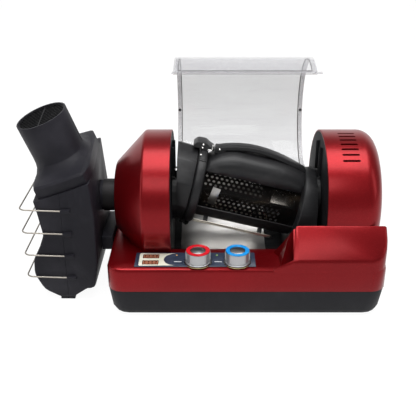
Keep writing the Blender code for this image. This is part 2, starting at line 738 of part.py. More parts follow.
def build_boards():
    """The control board under the deck, with its two encoders, and the power board in the tray."""
    control = block("control_board", (BOARD_LEFT_X, BOARD_FRONT_Y, BOARD_TOP - BOARD_THICKNESS),
                    (BOARD_LEFT_X + BOARD_LENGTH, BOARD_FRONT_Y + BOARD_DEPTH, BOARD_TOP), finish=BOARD_GREEN)
    half = ENCODER_SIZE / 2
    for x in (TEMPERATURE_KNOB_X, TIME_KNOB_X):
        encoder = block("encoder", (x - half, KNOB_Y - half, BOARD_TOP - BOARD_THICKNESS / 2),
                        (x + half, KNOB_Y + half, BOARD_TOP + ENCODER_HEIGHT), cutter=True)
        bore = turned("encoder_bore", rod_profile(SPINDLE_RADIUS + FIT, ENCODER_FLOOR, ENCODER_HEIGHT + OVERRUN),
                      axis="Z", centre=(x, KNOB_Y, BOARD_TOP), steps=SMALL_ROUND, cutter=True)
        cut(control, encoder, how="UNION")
        cut(control, bore)
    floor = FOOT_HEIGHT + CASING_WALL + POWER_BOARD_RAISE + FIT
    front = POWER_BOARD_FRONT_Y
    board = block("power_board", (POWER_BOARD_LOW_X, front, floor),
                  (POWER_BOARD_LOW_X + POWER_BOARD_LENGTH, front + POWER_BOARD_DEPTH, floor + BOARD_THICKNESS),
                  finish=BOARD_GREEN)
    middle_x = POWER_BOARD_LOW_X + POWER_BOARD_LENGTH / 2
    middle_y = front + POWER_BOARD_DEPTH / 2
    half = TRANSFORMER_SIZE / 2
    transformer = block("transformer", (middle_x - half, middle_y - half, floor + BOARD_THICKNESS / 2),
                        (middle_x + half, middle_y + half, floor + BOARD_THICKNESS + TRANSFORMER_SIZE / 2), cutter=True)
    cut(board, transformer, how="UNION")
    for side in (-1, 1):
        can = turned("capacitor", rod_profile(CAPACITOR_RADIUS, 0, CAPACITOR_HEIGHT), axis="Z",
                     centre=(middle_x + side * TRANSFORMER_SIZE, middle_y, floor + BOARD_THICKNESS / 2), steps=TINY_ROUND,
                     cutter=True)
        cut(board, can, how="UNION")


# Housings and bay

LEFT_BAND_FILLET = 5 * MM


def above_deck(name, low_x, high_x):
    """A cutter that takes away what lies below the deck."""
    return block(name, (low_x, -BASE_DEPTH, 0), (high_x, BASE_DEPTH, HOUSING_FLOOR), cutter=True)


def build_left_housing():
    """The left housing: a round band that narrows to a small end, where the air leaves."""
    wall = HOUSING_WALL
    band_end = LEFT_RIM_X - LEFT_BAND_WIDTH
    hole = AIR_TUBE_OUTER + FIT
    outline = filleted([
        (LEFT_RIM_X, BAND_RADIUS - RIM_FILLET),
        (LEFT_RIM_X - RIM_FILLET, BAND_RADIUS),
        (band_end, BAND_RADIUS, LEFT_BAND_FILLET),
        (LEFT_END_X, LEFT_END_RADIUS, LEFT_SHOULDER),
        (LEFT_END_X, hole),
        (LEFT_END_X + wall, hole),
        (LEFT_END_X + wall, LEFT_END_RADIUS - wall / 2),
        (band_end + wall / 2, BAND_RADIUS - wall),
        (LEFT_RIM_X, BAND_RADIUS - wall),
    ], segments=3)
    housing = turned("left_housing", [(r, x) for x, r in outline], centre=AXIS, steps=LARGE_ROUND, finish=RED_PAINT)
    cut(housing, above_deck("left_floor", LEFT_END_X - OVERRUN, LEFT_RIM_X + OVERRUN))


def build_right_housing():
    """The right housing: a round drum with vent slots over its front shoulder."""
    wall = HOUSING_WALL
    outline = filleted([
        (RIGHT_END_X, BAND_RADIUS, RIGHT_SHOULDER),
        (RIGHT_RIM_X + RIM_FILLET, BAND_RADIUS),
        (RIGHT_RIM_X, BAND_RADIUS - RIM_FILLET),
        (RIGHT_RIM_X, BAND_RADIUS - wall),
        (RIGHT_END_X - wall, BAND_RADIUS - wall, RIGHT_SHOULDER - wall),
        (RIGHT_END_X - wall, 0),
        (RIGHT_END_X, 0),
    ])
    housing = turned("right_housing", [(r, x) for x, r in outline], centre=AXIS, steps=LARGE_ROUND, finish=RED_PAINT)
    cut(housing, above_deck("right_floor", RIGHT_RIM_X - OVERRUN, RIGHT_END_X + OVERRUN))
    half = SLOT_LENGTH / 2
    for index in range(SLOT_COUNT):
        angle = SLOT_FIRST_ANGLE + index * SLOT_STEP_ANGLE
        outline = filleted([(-half, -SLOT_WIDTH / 2, SLOT_WIDTH / 2), (half, -SLOT_WIDTH / 2, SLOT_WIDTH / 2),
                            (half, SLOT_WIDTH / 2, SLOT_WIDTH / 2), (-half, SLOT_WIDTH / 2, SLOT_WIDTH / 2)],
                           segments=2)
        slot = plate("vent_slot", outline, -OVERRUN, OVERRUN, plane="XY", cutter=True, smooth=False)
        slot.location = place_on_axis(BAND_RADIUS, angle, SLOT_X)
        slot.rotation_euler = (angle - math.pi / 2, 0, 0)
        cut(housing, slot)


def build_inner_plate(name, rim_x, inward):
    """A black plate that closes a housing towards the bay, with holes for the bearing and the lid's pin."""
    back = rim_x - inward * PLATE_THICKNESS
    low, high = sorted((rim_x, back))
    disc = turned(name, tube_profile(BEARING_OUTER + FIT, PLATE_RADIUS, low, high), centre=AXIS, steps=LARGE_ROUND,
                  finish=BLACK_PLASTIC)
    hole = turned("pin_hole", rod_profile(LID_PIN_RADIUS + FIT, low - OVERRUN, high + OVERRUN),
                  centre=place_on_axis(LID_PIN_ORBIT, LID_START), steps=TINY_ROUND, cutter=True)
    cut(disc, hole)


def build_bay():
    """The black liner of the bay, the polished reflector in it and the louvred cover behind it."""
    centre = (AXIS_Y, AXIS_Z)
    section = ring_section(LINER_INNER, LINER_OUTER, LINER_START, LINER_END, ROUND, centre)
    plate("bay_liner", section, BAY_LEFT_X, BAY_RIGHT_X, finish=BLACK_PLASTIC)
    section = ring_section(REFLECTOR_RADIUS, REFLECTOR_RADIUS + REFLECTOR_THICKNESS, REFLECTOR_START,
                           REFLECTOR_END, ROUND, centre)
    plate("reflector_tray", section, REFLECTOR_LEFT_X, REFLECTOR_LEFT_X + REFLECTOR_LENGTH, finish=POLISHED)
    front = AXIS_Y + LINER_OUTER + FIT
    cover = block("rear_cover", (BAY_LEFT_X, front, DECK_Z + FIT),
                  (BAY_RIGHT_X, front + REAR_COVER_THICKNESS, REAR_COVER_TOP), finish=BLACK_PLASTIC)
    half = LOUVRE_LENGTH / 2
    for index in range(LOUVRE_COUNT):
        z = DECK_Z + LOUVRE_PITCH * (index + 1)
        slot = block("louvre", (-half, front - OVERRUN, z), (half, front + OVERRUN, z + LOUVRE_WIDTH), cutter=True)
        cut(cover, slot)


# Carriers, bearings and drive


def build_carrier(name, rim_x, inward, shaft_length):
    """A turning carrier: a disc with a drop-in slot for the chamber's trunnion, on a hollow shaft."""
    back = rim_x + inward * FIT
    web = back + inward * CARRIER_WEB
    front = web + inward * CARRIER_SLOT_DEPTH
    tail = back - inward * shaft_length
    profile = [(CARRIER_RADIUS, front), (CARRIER_RADIUS, back), (SHAFT_OUTER, back), (SHAFT_OUTER, tail),
               (SHAFT_BORE, tail), (SHAFT_BORE, back), (TRUNNION_BORE, back), (TRUNNION_BORE, front)]
    carrier = turned(name, profile, centre=AXIS, finish=BLACK_SATIN)
    half = TRUNNION_WIDTH / 2 + FIT
    low, high = sorted((web, front + inward * OVERRUN))
    slot = block(name + "_slot", (low, AXIS_Y - half, AXIS_Z - half),
                 (high, AXIS_Y + half, AXIS_Z + CARRIER_RADIUS + OVERRUN), cutter=True)
    cut(carrier, slot)


def build_bearing(name, rim_x, inward):
    """A flanged bush in the inner plate."""
    step = rim_x - inward * (PLATE_THICKNESS + FIT)
    flange = step - inward * BEARING_FLANGE_THICKNESS
    tail = rim_x - inward * BEARING_LENGTH
    profile = [(BEARING_OUTER, rim_x), (BEARING_OUTER, step), (BEARING_FLANGE, step), (BEARING_FLANGE, flange),
               (BEARING_OUTER, flange), (BEARING_OUTER, tail), (SHAFT_OUTER + FIT, tail), (SHAFT_OUTER + FIT, rim_x)]
    turned(name, profile, centre=AXIS, finish=BRASS)


def involute(base_radius, radius):
    """The polar angle of an involute of this base circle, at this radius."""
    if radius <= base_radius:
        return 0.0
    pressure = math.acos(base_radius / radius)
    return math.tan(pressure) - pressure


def gear_outline(teeth, steps, phase=0.0):
    """The outline of a spur gear with involute flanks."""
    pitch = GEAR_MODULE * teeth / 2
    base = pitch * math.cos(PRESSURE_ANGLE)
    tip = pitch + ADDENDUM_SHARE * GEAR_MODULE
    root = pitch - DEDENDUM_SHARE * GEAR_MODULE
    half_tooth = math.pi / (2 * teeth) - BACKLASH / (2 * pitch) / 2 + involute(base, pitch)
    low = max(root, base)
    flank = [(root, half_tooth)] if root < base - GEAR_MODULE / 4 else []
    for step in range(steps + 1):
        radius = low + (tip - low) * step / steps
        flank.append((radius, half_tooth - involute(base, radius)))
    outline = []
    for tooth in range(teeth):
        middle = phase + 2 * math.pi * tooth / teeth
        for radius, angle in flank:
            outline.append((radius * math.cos(middle - angle), radius * math.sin(middle - angle)))
        for radius, angle in reversed(flank):
            outline.append((radius * math.cos(middle + angle), radius * math.sin(middle + angle)))
    return outline


GEAR_X = RIGHT_RIM_X + BEARING_LENGTH + RUNNING_GAP
PINION_X = GEAR_X - (PINION_WIDTH - GEAR_WIDTH) / 2
CENTRE_DISTANCE = GEAR_MODULE * (GEAR_TEETH + PINION_TEETH) / 2
MOTOR_X = PINION_X + PINION_WIDTH + RUNNING_GAP


def build_drive():
    """The gear on the right carrier's shaft, the pinion that turns it and the gear motor."""
    gear = plate("drive_gear", gear_outline(GEAR_TEETH, 1), 0, GEAR_WIDTH, finish=STEEL)
    gear.location = (GEAR_X, AXIS_Y, AXIS_Z)
    bore = turned("gear_bore", rod_profile(SHAFT_OUTER + FIT, -OVERRUN, GEAR_WIDTH + OVERRUN),
                  centre=(GEAR_X, AXIS_Y, AXIS_Z), cutter=True)
    cut(gear, bore)
    centre = place_on_axis(CENTRE_DISTANCE, PINION_ANGLE)
    # A gap of the pinion faces the gear tooth, so its phase follows the gear's along the line of centres
    gear_phase = PINION_ANGLE * GEAR_TEETH / PINION_TEETH
    phase = PINION_ANGLE + math.pi + math.pi / PINION_TEETH + gear_phase
    pinion = plate("motor_pinion", gear_outline(PINION_TEETH, 2, phase), 0, PINION_WIDTH, finish=BRASS)
    pinion.location = (PINION_X, centre[1], centre[2])
    shaft = turned("pinion_shaft", rod_profile(MOTOR_SHAFT_RADIUS, PINION_WIDTH / 2, PINION_WIDTH + OVERRUN),
                   centre=(PINION_X, centre[1], centre[2]), steps=TINY_ROUND, cutter=True)
    cut(pinion, shaft, how="UNION")
    depth = OVERRUN + FIT
    profile = [(0, MOTOR_LENGTH), (MOTOR_RADIUS, MOTOR_LENGTH), (MOTOR_RADIUS, 0),
               (MOTOR_SHAFT_RADIUS + FIT, 0), (MOTOR_SHAFT_RADIUS + FIT, depth), (0, depth)]
    turned("drive_motor", profile, centre=(MOTOR_X, centre[1], centre[2]), steps=SMALL_ROUND, finish=STEEL)


DUCT_X = RIGHT_RIM_X + RIGHT_SHAFT_LENGTH + RUNNING_GAP
# Where the duct starts to widen towards the fan
CONE_X = DUCT_X + HEATER_LENGTH


def build_heater(radius, low, high):
    """A mica cross wound with heating wire, pushed into the round duct."""
    half = HEATER_CARD / 2
    element = block("heater_element", (low, AXIS_Y - radius, AXIS_Z - half), (high, AXIS_Y + radius, AXIS_Z + half),
                    finish=CERAMIC)
    upright = block("heater_card", (low, AXIS_Y - half, AXIS_Z - radius), (high, AXIS_Y + half, AXIS_Z + radius),
                    cutter=True)
    cut(element, upright, how="UNION")
    pitch = (high - low) / (HEATER_TURNS + 1)
    for index in range(HEATER_TURNS):
        at = low + pitch * (index + 1)
        turn = turned("heater_turn", tube_profile(HEATER_RADIUS - HEATER_WIRE, HEATER_RADIUS, at - HEATER_WIRE / 2, at + HEATER_WIRE / 2),
                      centre=AXIS, steps=SMALL_ROUND, cutter=True)
        cut(element, turn, how="UNION")


def build_air_path():
    """Fan, heater and ducts: air is blown in at the right and leaves through the left housing's end."""
    wall = AIR_TUBE_WALL
    outer = AIR_TUBE_OUTER
    shroud = CONE_X + FAN_CONE_LENGTH
    end = shroud + FAN_SHROUD_LENGTH
    profile = [(outer, DUCT_X), (outer, CONE_X), (FAN_SHROUD_RADIUS, shroud), (FAN_SHROUD_RADIUS, end),
               (FAN_SHROUD_RADIUS - wall, end), (FAN_SHROUD_RADIUS - wall, shroud), (outer - wall, CONE_X),
               (outer - wall, DUCT_X)]
    turned("hot_air_duct", profile, centre=AXIS, finish=STEEL)
    build_heater(outer - wall - FIT, DUCT_X + FIT, CONE_X)
    fan_x = shroud + (FAN_SHROUD_LENGTH - FAN_LENGTH) / 2
    fan = turned("blower_fan", tube_profile(MOTOR_SHAFT_RADIUS + FIT, FAN_HUB_RADIUS, fan_x, fan_x + FAN_LENGTH),
                 centre=AXIS, steps=SMALL_ROUND, finish=BLACK_PLASTIC)
    reach = FAN_SHROUD_RADIUS - wall - RUNNING_GAP * 3
    for index in range(FAN_BLADES):
        angle = 2 * math.pi * index / FAN_BLADES
        root = FAN_HUB_RADIUS - FAN_BLADE_THICKNESS
        half = (FAN_LENGTH - FAN_BLADE_THICKNESS) / 2
        slant = half * math.tan(FAN_BLADE_PITCH)
        sections = []
        for radius in (root, reach):
            sections.append([(-half, radius, -slant), (half, radius, slant),
                             (half, radius, slant + FAN_BLADE_THICKNESS), (-half, radius, FAN_BLADE_THICKNESS - slant)])
        blade = loft("fan_blade", sections, smooth=False, cutter=True)
        blade.location = (fan_x + FAN_LENGTH / 2, AXIS_Y, AXIS_Z)
        blade.rotation_euler = (angle, 0, 0)
        cut(fan, blade, how="UNION")
    motor_end = RIGHT_END_X - HOUSING_WALL - FIT
    motor_x = fan_x + FAN_LENGTH + RUNNING_GAP
    profile = [(0, motor_end), (FAN_MOTOR_RADIUS, motor_end), (FAN_MOTOR_RADIUS, motor_x),
               (MOTOR_SHAFT_RADIUS, motor_x), (MOTOR_SHAFT_RADIUS, fan_x), (0, fan_x)]
    turned("blower_motor", profile, centre=AXIS, steps=SMALL_ROUND, finish=STEEL)
    tail = LEFT_RIM_X + FIT - LEFT_SHAFT_LENGTH - RUNNING_GAP
    turned("exhaust_duct", tube_profile(outer - wall, outer, COLLECTOR_RIGHT_X + SPIGOT_SHOULDER, tail),
           centre=AXIS, finish=STEEL)


# Roasting chamber

BAND_RIGHT_U = GLASS_LEFT_U
BAND_LEFT_U = BAND_RIGHT_U - COLLAR_WIDTH
CAP_RIGHT_U = BAND_LEFT_U - FIT
END_LIP = 4 * MM
LEFT_FACE_X = LEFT_RIM_X + LEFT_FACE_GAP
RIGHT_FACE_X = RIGHT_RIM_X - LEFT_FACE_GAP
TRUNNION_LENGTH = LEFT_FACE_GAP - FIT - CARRIER_WEB - FIT
HINGE_W = -58 * MM
HINGE_RADIUS = 4.6 * MM
HINGE_PIN_RADIUS = 1.8 * MM
HINGE_LENGTH = 26 * MM
KNUCKLE_SHARE = 0.36
LATCH_U = -77 * MM
LATCH_W = 56.5 * MM
LATCH_PIN_RADIUS = 1.6 * MM
LATCH_POST_WIDTH = 3 * MM
HANDLE_PEAK_U = -2 * MM
HANDLE_PEAK_W = 77 * MM
HANDLE_LEFT_U = -60 * MM
HANDLE_FOOT_LENGTH = 9 * MM
HANDLE_FOOT_WIDTH = 14 * MM


def chamber_frame():
    """The empty that carries the tilted chamber on the drum's turning axis."""
    return empty("chamber_axis", (CHAMBER_X, AXIS_Y, AXIS_Z), (0, CHAMBER_TILT, 0))


def trunnion(name, face_x, outward):
    """The square block and air bore at one end of the chamber, in world space."""
    low, high = sorted((face_x - outward * CAP_WALL / 2, face_x + outward * TRUNNION_LENGTH))
    half = TRUNNION_WIDTH / 2
    bar = block(name + "_trunnion", (low, AXIS_Y - half, AXIS_Z - half), (high, AXIS_Y + half, AXIS_Z + half), cutter=True)
    reach = OVERRUN + CAP_WALL
    bore = turned(name + "_bore", rod_profile(TRUNNION_BORE, face_x - reach, face_x + reach), centre=AXIS, steps=SMALL_ROUND,
                  cutter=True)
    return bar, bore


def beyond(name, x, outward, reach):
    """A cutter for everything past an upright plane."""
    low, high = sorted((x, x + outward * reach))
    return block(name, (low, AXIS_Y - BAND_RADIUS, AXIS_Z - BAND_RADIUS), (high, AXIS_Y + BAND_RADIUS, AXIS_Z + BAND_RADIUS),
                 cutter=True)


def cap_section(radius, u):
    """One section of the many-sided cap."""
    points = []
    for side in range(CAP_SIDES):
        angle = 2 * math.pi * (side + 0.5) / CAP_SIDES
        points.append((u, radius * math.cos(angle), radius * math.sin(angle)))
    return points


def build_cap(frame):
    """The many-sided left cap, cut upright at its end, with its trunnion and hinge knuckles."""
    left = CAP_RIGHT_U - CAP_LENGTH
    cap = loft("chamber_cap", (cap_section(CAP_LEFT_RADIUS, left), cap_section(CAP_RADIUS, CAP_RIGHT_U)),
               finish=BLACK_SATIN, parent=frame, smooth=False)
    bevelled(cap, CAP_WALL / 2, segments=1, angle=25 * DEGREE)
    reach = CAP_LENGTH * 2
    cut(cap, beyond("cap_end", LEFT_FACE_X, -1, reach))
    hollow = loft("cap_hollow", (cap_section(CAP_LEFT_RADIUS - CAP_WALL, left - OVERRUN),
                                 cap_section(CAP_RADIUS - CAP_WALL, CAP_RIGHT_U + OVERRUN)), parent=frame, cutter=True)
    cut(hollow, beyond("cap_end_wall", LEFT_FACE_X + CAP_WALL, -1, reach))
    cut(cap, hollow)
    bar, bore = trunnion("cap", LEFT_FACE_X, -1)
    cut(cap, bar, how="UNION")
    cut(cap, bore)
    return cap


def build_collar(frame):
    """The clamping collar that holds the glass and carries the latch and the cap's hinge, pins included."""
    collar = turned("cap_collar", tube_profile(GLASS_RADIUS + FIT, COLLAR_RADIUS, BAND_LEFT_U, BAND_RIGHT_U),
                    steps=LARGE_ROUND, finish=BLACK_SATIN, parent=frame)
    bevelled(collar, CAP_WALL / 2, segments=1)
    middle = (BAND_LEFT_U + BAND_RIGHT_U) / 2
    reach = LATCH_WIDTH / 2 + FIT + LATCH_POST_WIDTH
    for side in (-1, 1):
        y_low, y_high = sorted((side * (reach - LATCH_POST_WIDTH), side * reach))
        post = block("latch_post", (LATCH_U - HINGE_RADIUS, y_low, COLLAR_RADIUS - CAP_WALL * 2),
                     (LATCH_U + HINGE_RADIUS, y_high, LATCH_W + HINGE_RADIUS / 2), parent=frame, cutter=True)
        cut(collar, post, how="UNION")
    half = HINGE_LENGTH * KNUCKLE_SHARE / 2
    knuckle = turned("collar_knuckle", rod_profile(HINGE_RADIUS, -half, half), axis="Y",
                     centre=(middle, 0, HINGE_W), steps=TINY_ROUND, parent=frame, cutter=True)
    web = block("collar_web", (middle - HINGE_RADIUS / 2, -half, HINGE_W),
                (middle + HINGE_RADIUS / 2, half, -COLLAR_RADIUS + CAP_WALL), parent=frame, cutter=True)
    hinge_pin = turned("hinge_pin", rod_profile(HINGE_PIN_RADIUS, -HINGE_LENGTH / 2, HINGE_LENGTH / 2), axis="Y",
                       centre=(middle, 0, HINGE_W), steps=TINY_ROUND, parent=frame, cutter=True)
    latch_pin = turned("latch_pin", rod_profile(LATCH_PIN_RADIUS, -reach + MERGE * 2, reach - MERGE * 2), axis="Y",
                       centre=(LATCH_U, 0, LATCH_W), steps=TINY_ROUND, parent=frame, cutter=True)
    cut(collar, knuckle, web, hinge_pin, latch_pin, how="UNION")
    return middle


def build_hinge(frame, cap, middle):
    """The cap's own knuckles round the collar's pin."""
    half = HINGE_LENGTH / 2
    gap = HINGE_LENGTH * KNUCKLE_SHARE / 2 + FIT
    for side in (-1, 1):
        low, high = sorted((side * gap, side * half))
        knuckle = turned("cap_knuckle", rod_profile(HINGE_RADIUS, low, high), axis="Y", centre=(middle, 0, HINGE_W),
                         steps=TINY_ROUND, parent=frame, cutter=True)
        arm = block("cap_arm", (CAP_RIGHT_U - CAP_WALL, low, HINGE_W - HINGE_RADIUS / 2),
                    (middle, high, HINGE_W + HINGE_RADIUS / 2), parent=frame, cutter=True)
        heel = block("cap_heel", (CAP_RIGHT_U - CAP_WALL, low, HINGE_W - HINGE_RADIUS / 2),
                     (CAP_RIGHT_U, high, CAP_WALL * 2 - CAP_RADIUS), parent=frame, cutter=True)
        cut(cap, heel, knuckle, arm, how="UNION")
    hole = turned("cap_hinge_hole", rod_profile(HINGE_PIN_RADIUS + FIT, -half - OVERRUN, half + OVERRUN), axis="Y",
                  centre=(middle, 0, HINGE_W), steps=TINY_ROUND, parent=frame, cutter=True)
    cut(cap, hole)


def build_latch(frame):
    """The latch lever that rocks on the pin above the collar."""
    tilt = empty("latch_axis", (LATCH_U, 0, LATCH_W), parent=frame)
    half = LATCH_LENGTH / 2
    thick = LATCH_THICKNESS / 2
    outline = filleted([(-half, -thick / 2, thick / 2), (half, -thick / 2, thick / 2), (half, thick / 2, thick / 2),
                        (0, thick * 2, half), (-half, thick * 1.6, thick / 2)], segments=3)
    lever = plate("latch_lever", outline, -LATCH_WIDTH / 2, LATCH_WIDTH / 2, plane="XZ", finish=BLACK_SATIN, parent=tilt)
    hole = turned("lever_hole", rod_profile(LATCH_PIN_RADIUS + FIT, -LATCH_WIDTH, LATCH_WIDTH), axis="Y",
                  steps=TINY_ROUND, parent=tilt, cutter=True)
    cut(lever, hole)


def build_end_collar(frame):
    """The right end of the chamber: a cup round the glass, cut upright at its end, with its trunnion."""
    start = GLASS_RIGHT_U
    end = start + END_COLLAR_LENGTH
    cup = turned("end_collar", rod_profile(END_COLLAR_RADIUS, start, end), steps=LARGE_ROUND, finish=BLACK_SATIN,
                 parent=frame)
    bevelled(cup, END_COLLAR_WALL / 2, segments=1)
    cut(cup, beyond("cup_end", RIGHT_FACE_X, 1, END_COLLAR_LENGTH * 2))
    inner = END_COLLAR_RADIUS - END_COLLAR_WALL
    lip = start + END_LIP
    profile = [(0, end + OVERRUN), (inner, end + OVERRUN), (inner, lip), (GLASS_RADIUS + FIT, lip),
               (GLASS_RADIUS + FIT, start - OVERRUN), (0, start - OVERRUN)]
    hollow = turned("cup_hollow", profile, steps=LARGE_ROUND, parent=frame, cutter=True)
    cut(hollow, beyond("cup_end_wall", RIGHT_FACE_X - END_COLLAR_WALL, 1, END_COLLAR_LENGTH * 2))
    cut(cup, hollow)
    bar, bore = trunnion("cup", RIGHT_FACE_X, 1)
    cut(cup, bar, how="UNION")
    cut(cup, bore)
    for side in (-1, 1):
        middle = math.pi / 2 + side * RAIL_ANGLE
        section = ring_section(GLASS_RADIUS + FIT * 2, GLASS_RADIUS + FIT + SADDLE_THICKNESS, middle - RAIL_HALF_ANGLE,
                               middle + RAIL_HALF_ANGLE, 3)
        rail = plate("rail", section, BAND_RIGHT_U + FIT, start + END_LIP / 2, parent=frame, cutter=True)
        cut(cup, rail, how="UNION")


def build_drum(frame):
    """The glass drum and the saddle over it."""
    left = BAND_LEFT_U + FIT
    right = GLASS_RIGHT_U + END_LIP - FIT
    turned("glass_drum", tube_profile(GLASS_INNER, GLASS_RADIUS, left, right), steps=LARGE_ROUND, finish=GLASS, parent=frame)
    inner = GLASS_RADIUS + FIT
    outer = inner + SADDLE_THICKNESS
    low = BAND_RIGHT_U + FIT
    high = GLASS_RIGHT_U - FIT
    top = math.pi / 2
    section = ring_section(inner, outer, top - SADDLE_HALF_ANGLE, top + SADDLE_HALF_ANGLE, TINY_ROUND)
    plate("chamber_saddle", section, low, high, finish=BLACK_SATIN, parent=frame)


def build_baffle(frame):
    """Two perforated wings that meet in a fold near the middle of the drum."""
    edge = GLASS_INNER - FIT * 2
    fold = Vector((-BAFFLE_FOLD, 0))
    half = BAFFLE_THICKNESS / 2
    tips = [Vector((edge * math.cos(a), edge * math.sin(a))) for a in (BAFFLE_TOP_ANGLE, -BAFFLE_TOP_ANGLE)]
    upper = (tips[0] - fold).normalized()
    lower = (tips[1] - fold).normalized()
    upper_side = Vector((-upper.y, upper.x)) * half
    lower_side = Vector((lower.y, -lower.x)) * half
    mitre = Vector((-half / math.sin(upper.angle(lower) / 2), 0))
    outline = [tips[0] + upper_side, tips[0] - upper_side, fold - mitre, tips[1] - lower_side,
               tips[1] + lower_side, fold + mitre]
    low = BAND_RIGHT_U + FIT
    high = GLASS_RIGHT_U - FIT
    baffle = plate("drum_baffle", outline, low, high, finish=STEEL, parent=frame, smooth=False)
    pitch_u = (high - low) / (BAFFLE_COLUMNS + 1)
    holes = bmesh.new()
    for direction, length in ((upper, (tips[0] - fold).length), (lower, (tips[1] - fold).length)):
        pitch = length / (BAFFLE_ROWS + 1)
        turn = math.atan2(direction.y, direction.x)
        for row in range(BAFFLE_ROWS):
            at = fold + direction * pitch * (row + 1)
            for column in range(BAFFLE_COLUMNS):
                u = low + pitch_u * (column + 1 + (row % 2) / 2 - 0.25)
                place = Matrix.Translation((u, at.x, at.y)) @ Matrix.Rotation(turn, 4, "X")
                bmesh.ops.create_cone(holes, cap_ends=True, segments=6, radius1=BAFFLE_HOLE, radius2=BAFFLE_HOLE,
                                      depth=OVERRUN, matrix=place)
    cut(baffle, from_bmesh("baffle_holes", holes, parent=frame, cutter=True))


def handle_height(u):
    """The height of the handle's bow above the chamber's axis."""
    share = (u - HANDLE_PEAK_U) / (GLASS_RIGHT_U - HANDLE_PEAK_U)
    return HANDLE_PEAK_W - HANDLE_DROP * share * share


def build_handle(frame):
    """The bowed handle over the saddle, with a foot at each end."""
    sections = []
    start = HANDLE_LEFT_U
    end = GLASS_RIGHT_U - FIT
    for station in range(HANDLE_STATIONS + 1):
        u = start + (end - start) * station / HANDLE_STATIONS
        top = handle_height(u)
        slope = math.atan((handle_height(u + FIT) - handle_height(u - FIT)) / (2 * FIT))
        upright = HANDLE_THICKNESS / math.cos(slope)
        outline = filleted([(-HANDLE_WIDTH / 2, top - upright, HANDLE_THICKNESS / 3),
                            (HANDLE_WIDTH / 2, top - upright, HANDLE_THICKNESS / 3),
                            (HANDLE_WIDTH / 2, top, HANDLE_THICKNESS / 3),
                            (-HANDLE_WIDTH / 2, top, HANDLE_THICKNESS / 3)], segments=2)
        sections.append([(u, y, w) for y, w in outline])
    handle = loft("chamber_handle", sections, finish=BLACK_SATIN, parent=frame)
    bottom = GLASS_RADIUS + FIT + SADDLE_THICKNESS + FIT
    half = HANDLE_FOOT_WIDTH / 2
    for name, low, high in (("left_foot", start, start + HANDLE_FOOT_LENGTH), ("right_foot", end - HANDLE_FOOT_LENGTH, end)):
        top = min(handle_height(low), handle_height(high)) - HANDLE_THICKNESS / 2
        foot = block(name, (low, -half, bottom), (high, half, top), parent=frame, cutter=True)
        cut(handle, foot, how="UNION")


def build_chamber():
    """The lift-out roasting chamber, tilted on its turning axis."""
    frame = chamber_frame()
    cap = build_cap(frame)
    middle = build_collar(frame)
    build_hinge(frame, cap, middle)
    build_latch(frame)
    build_end_collar(frame)
    build_drum(frame)
    build_baffle(frame)
    build_handle(frame)


# Lid


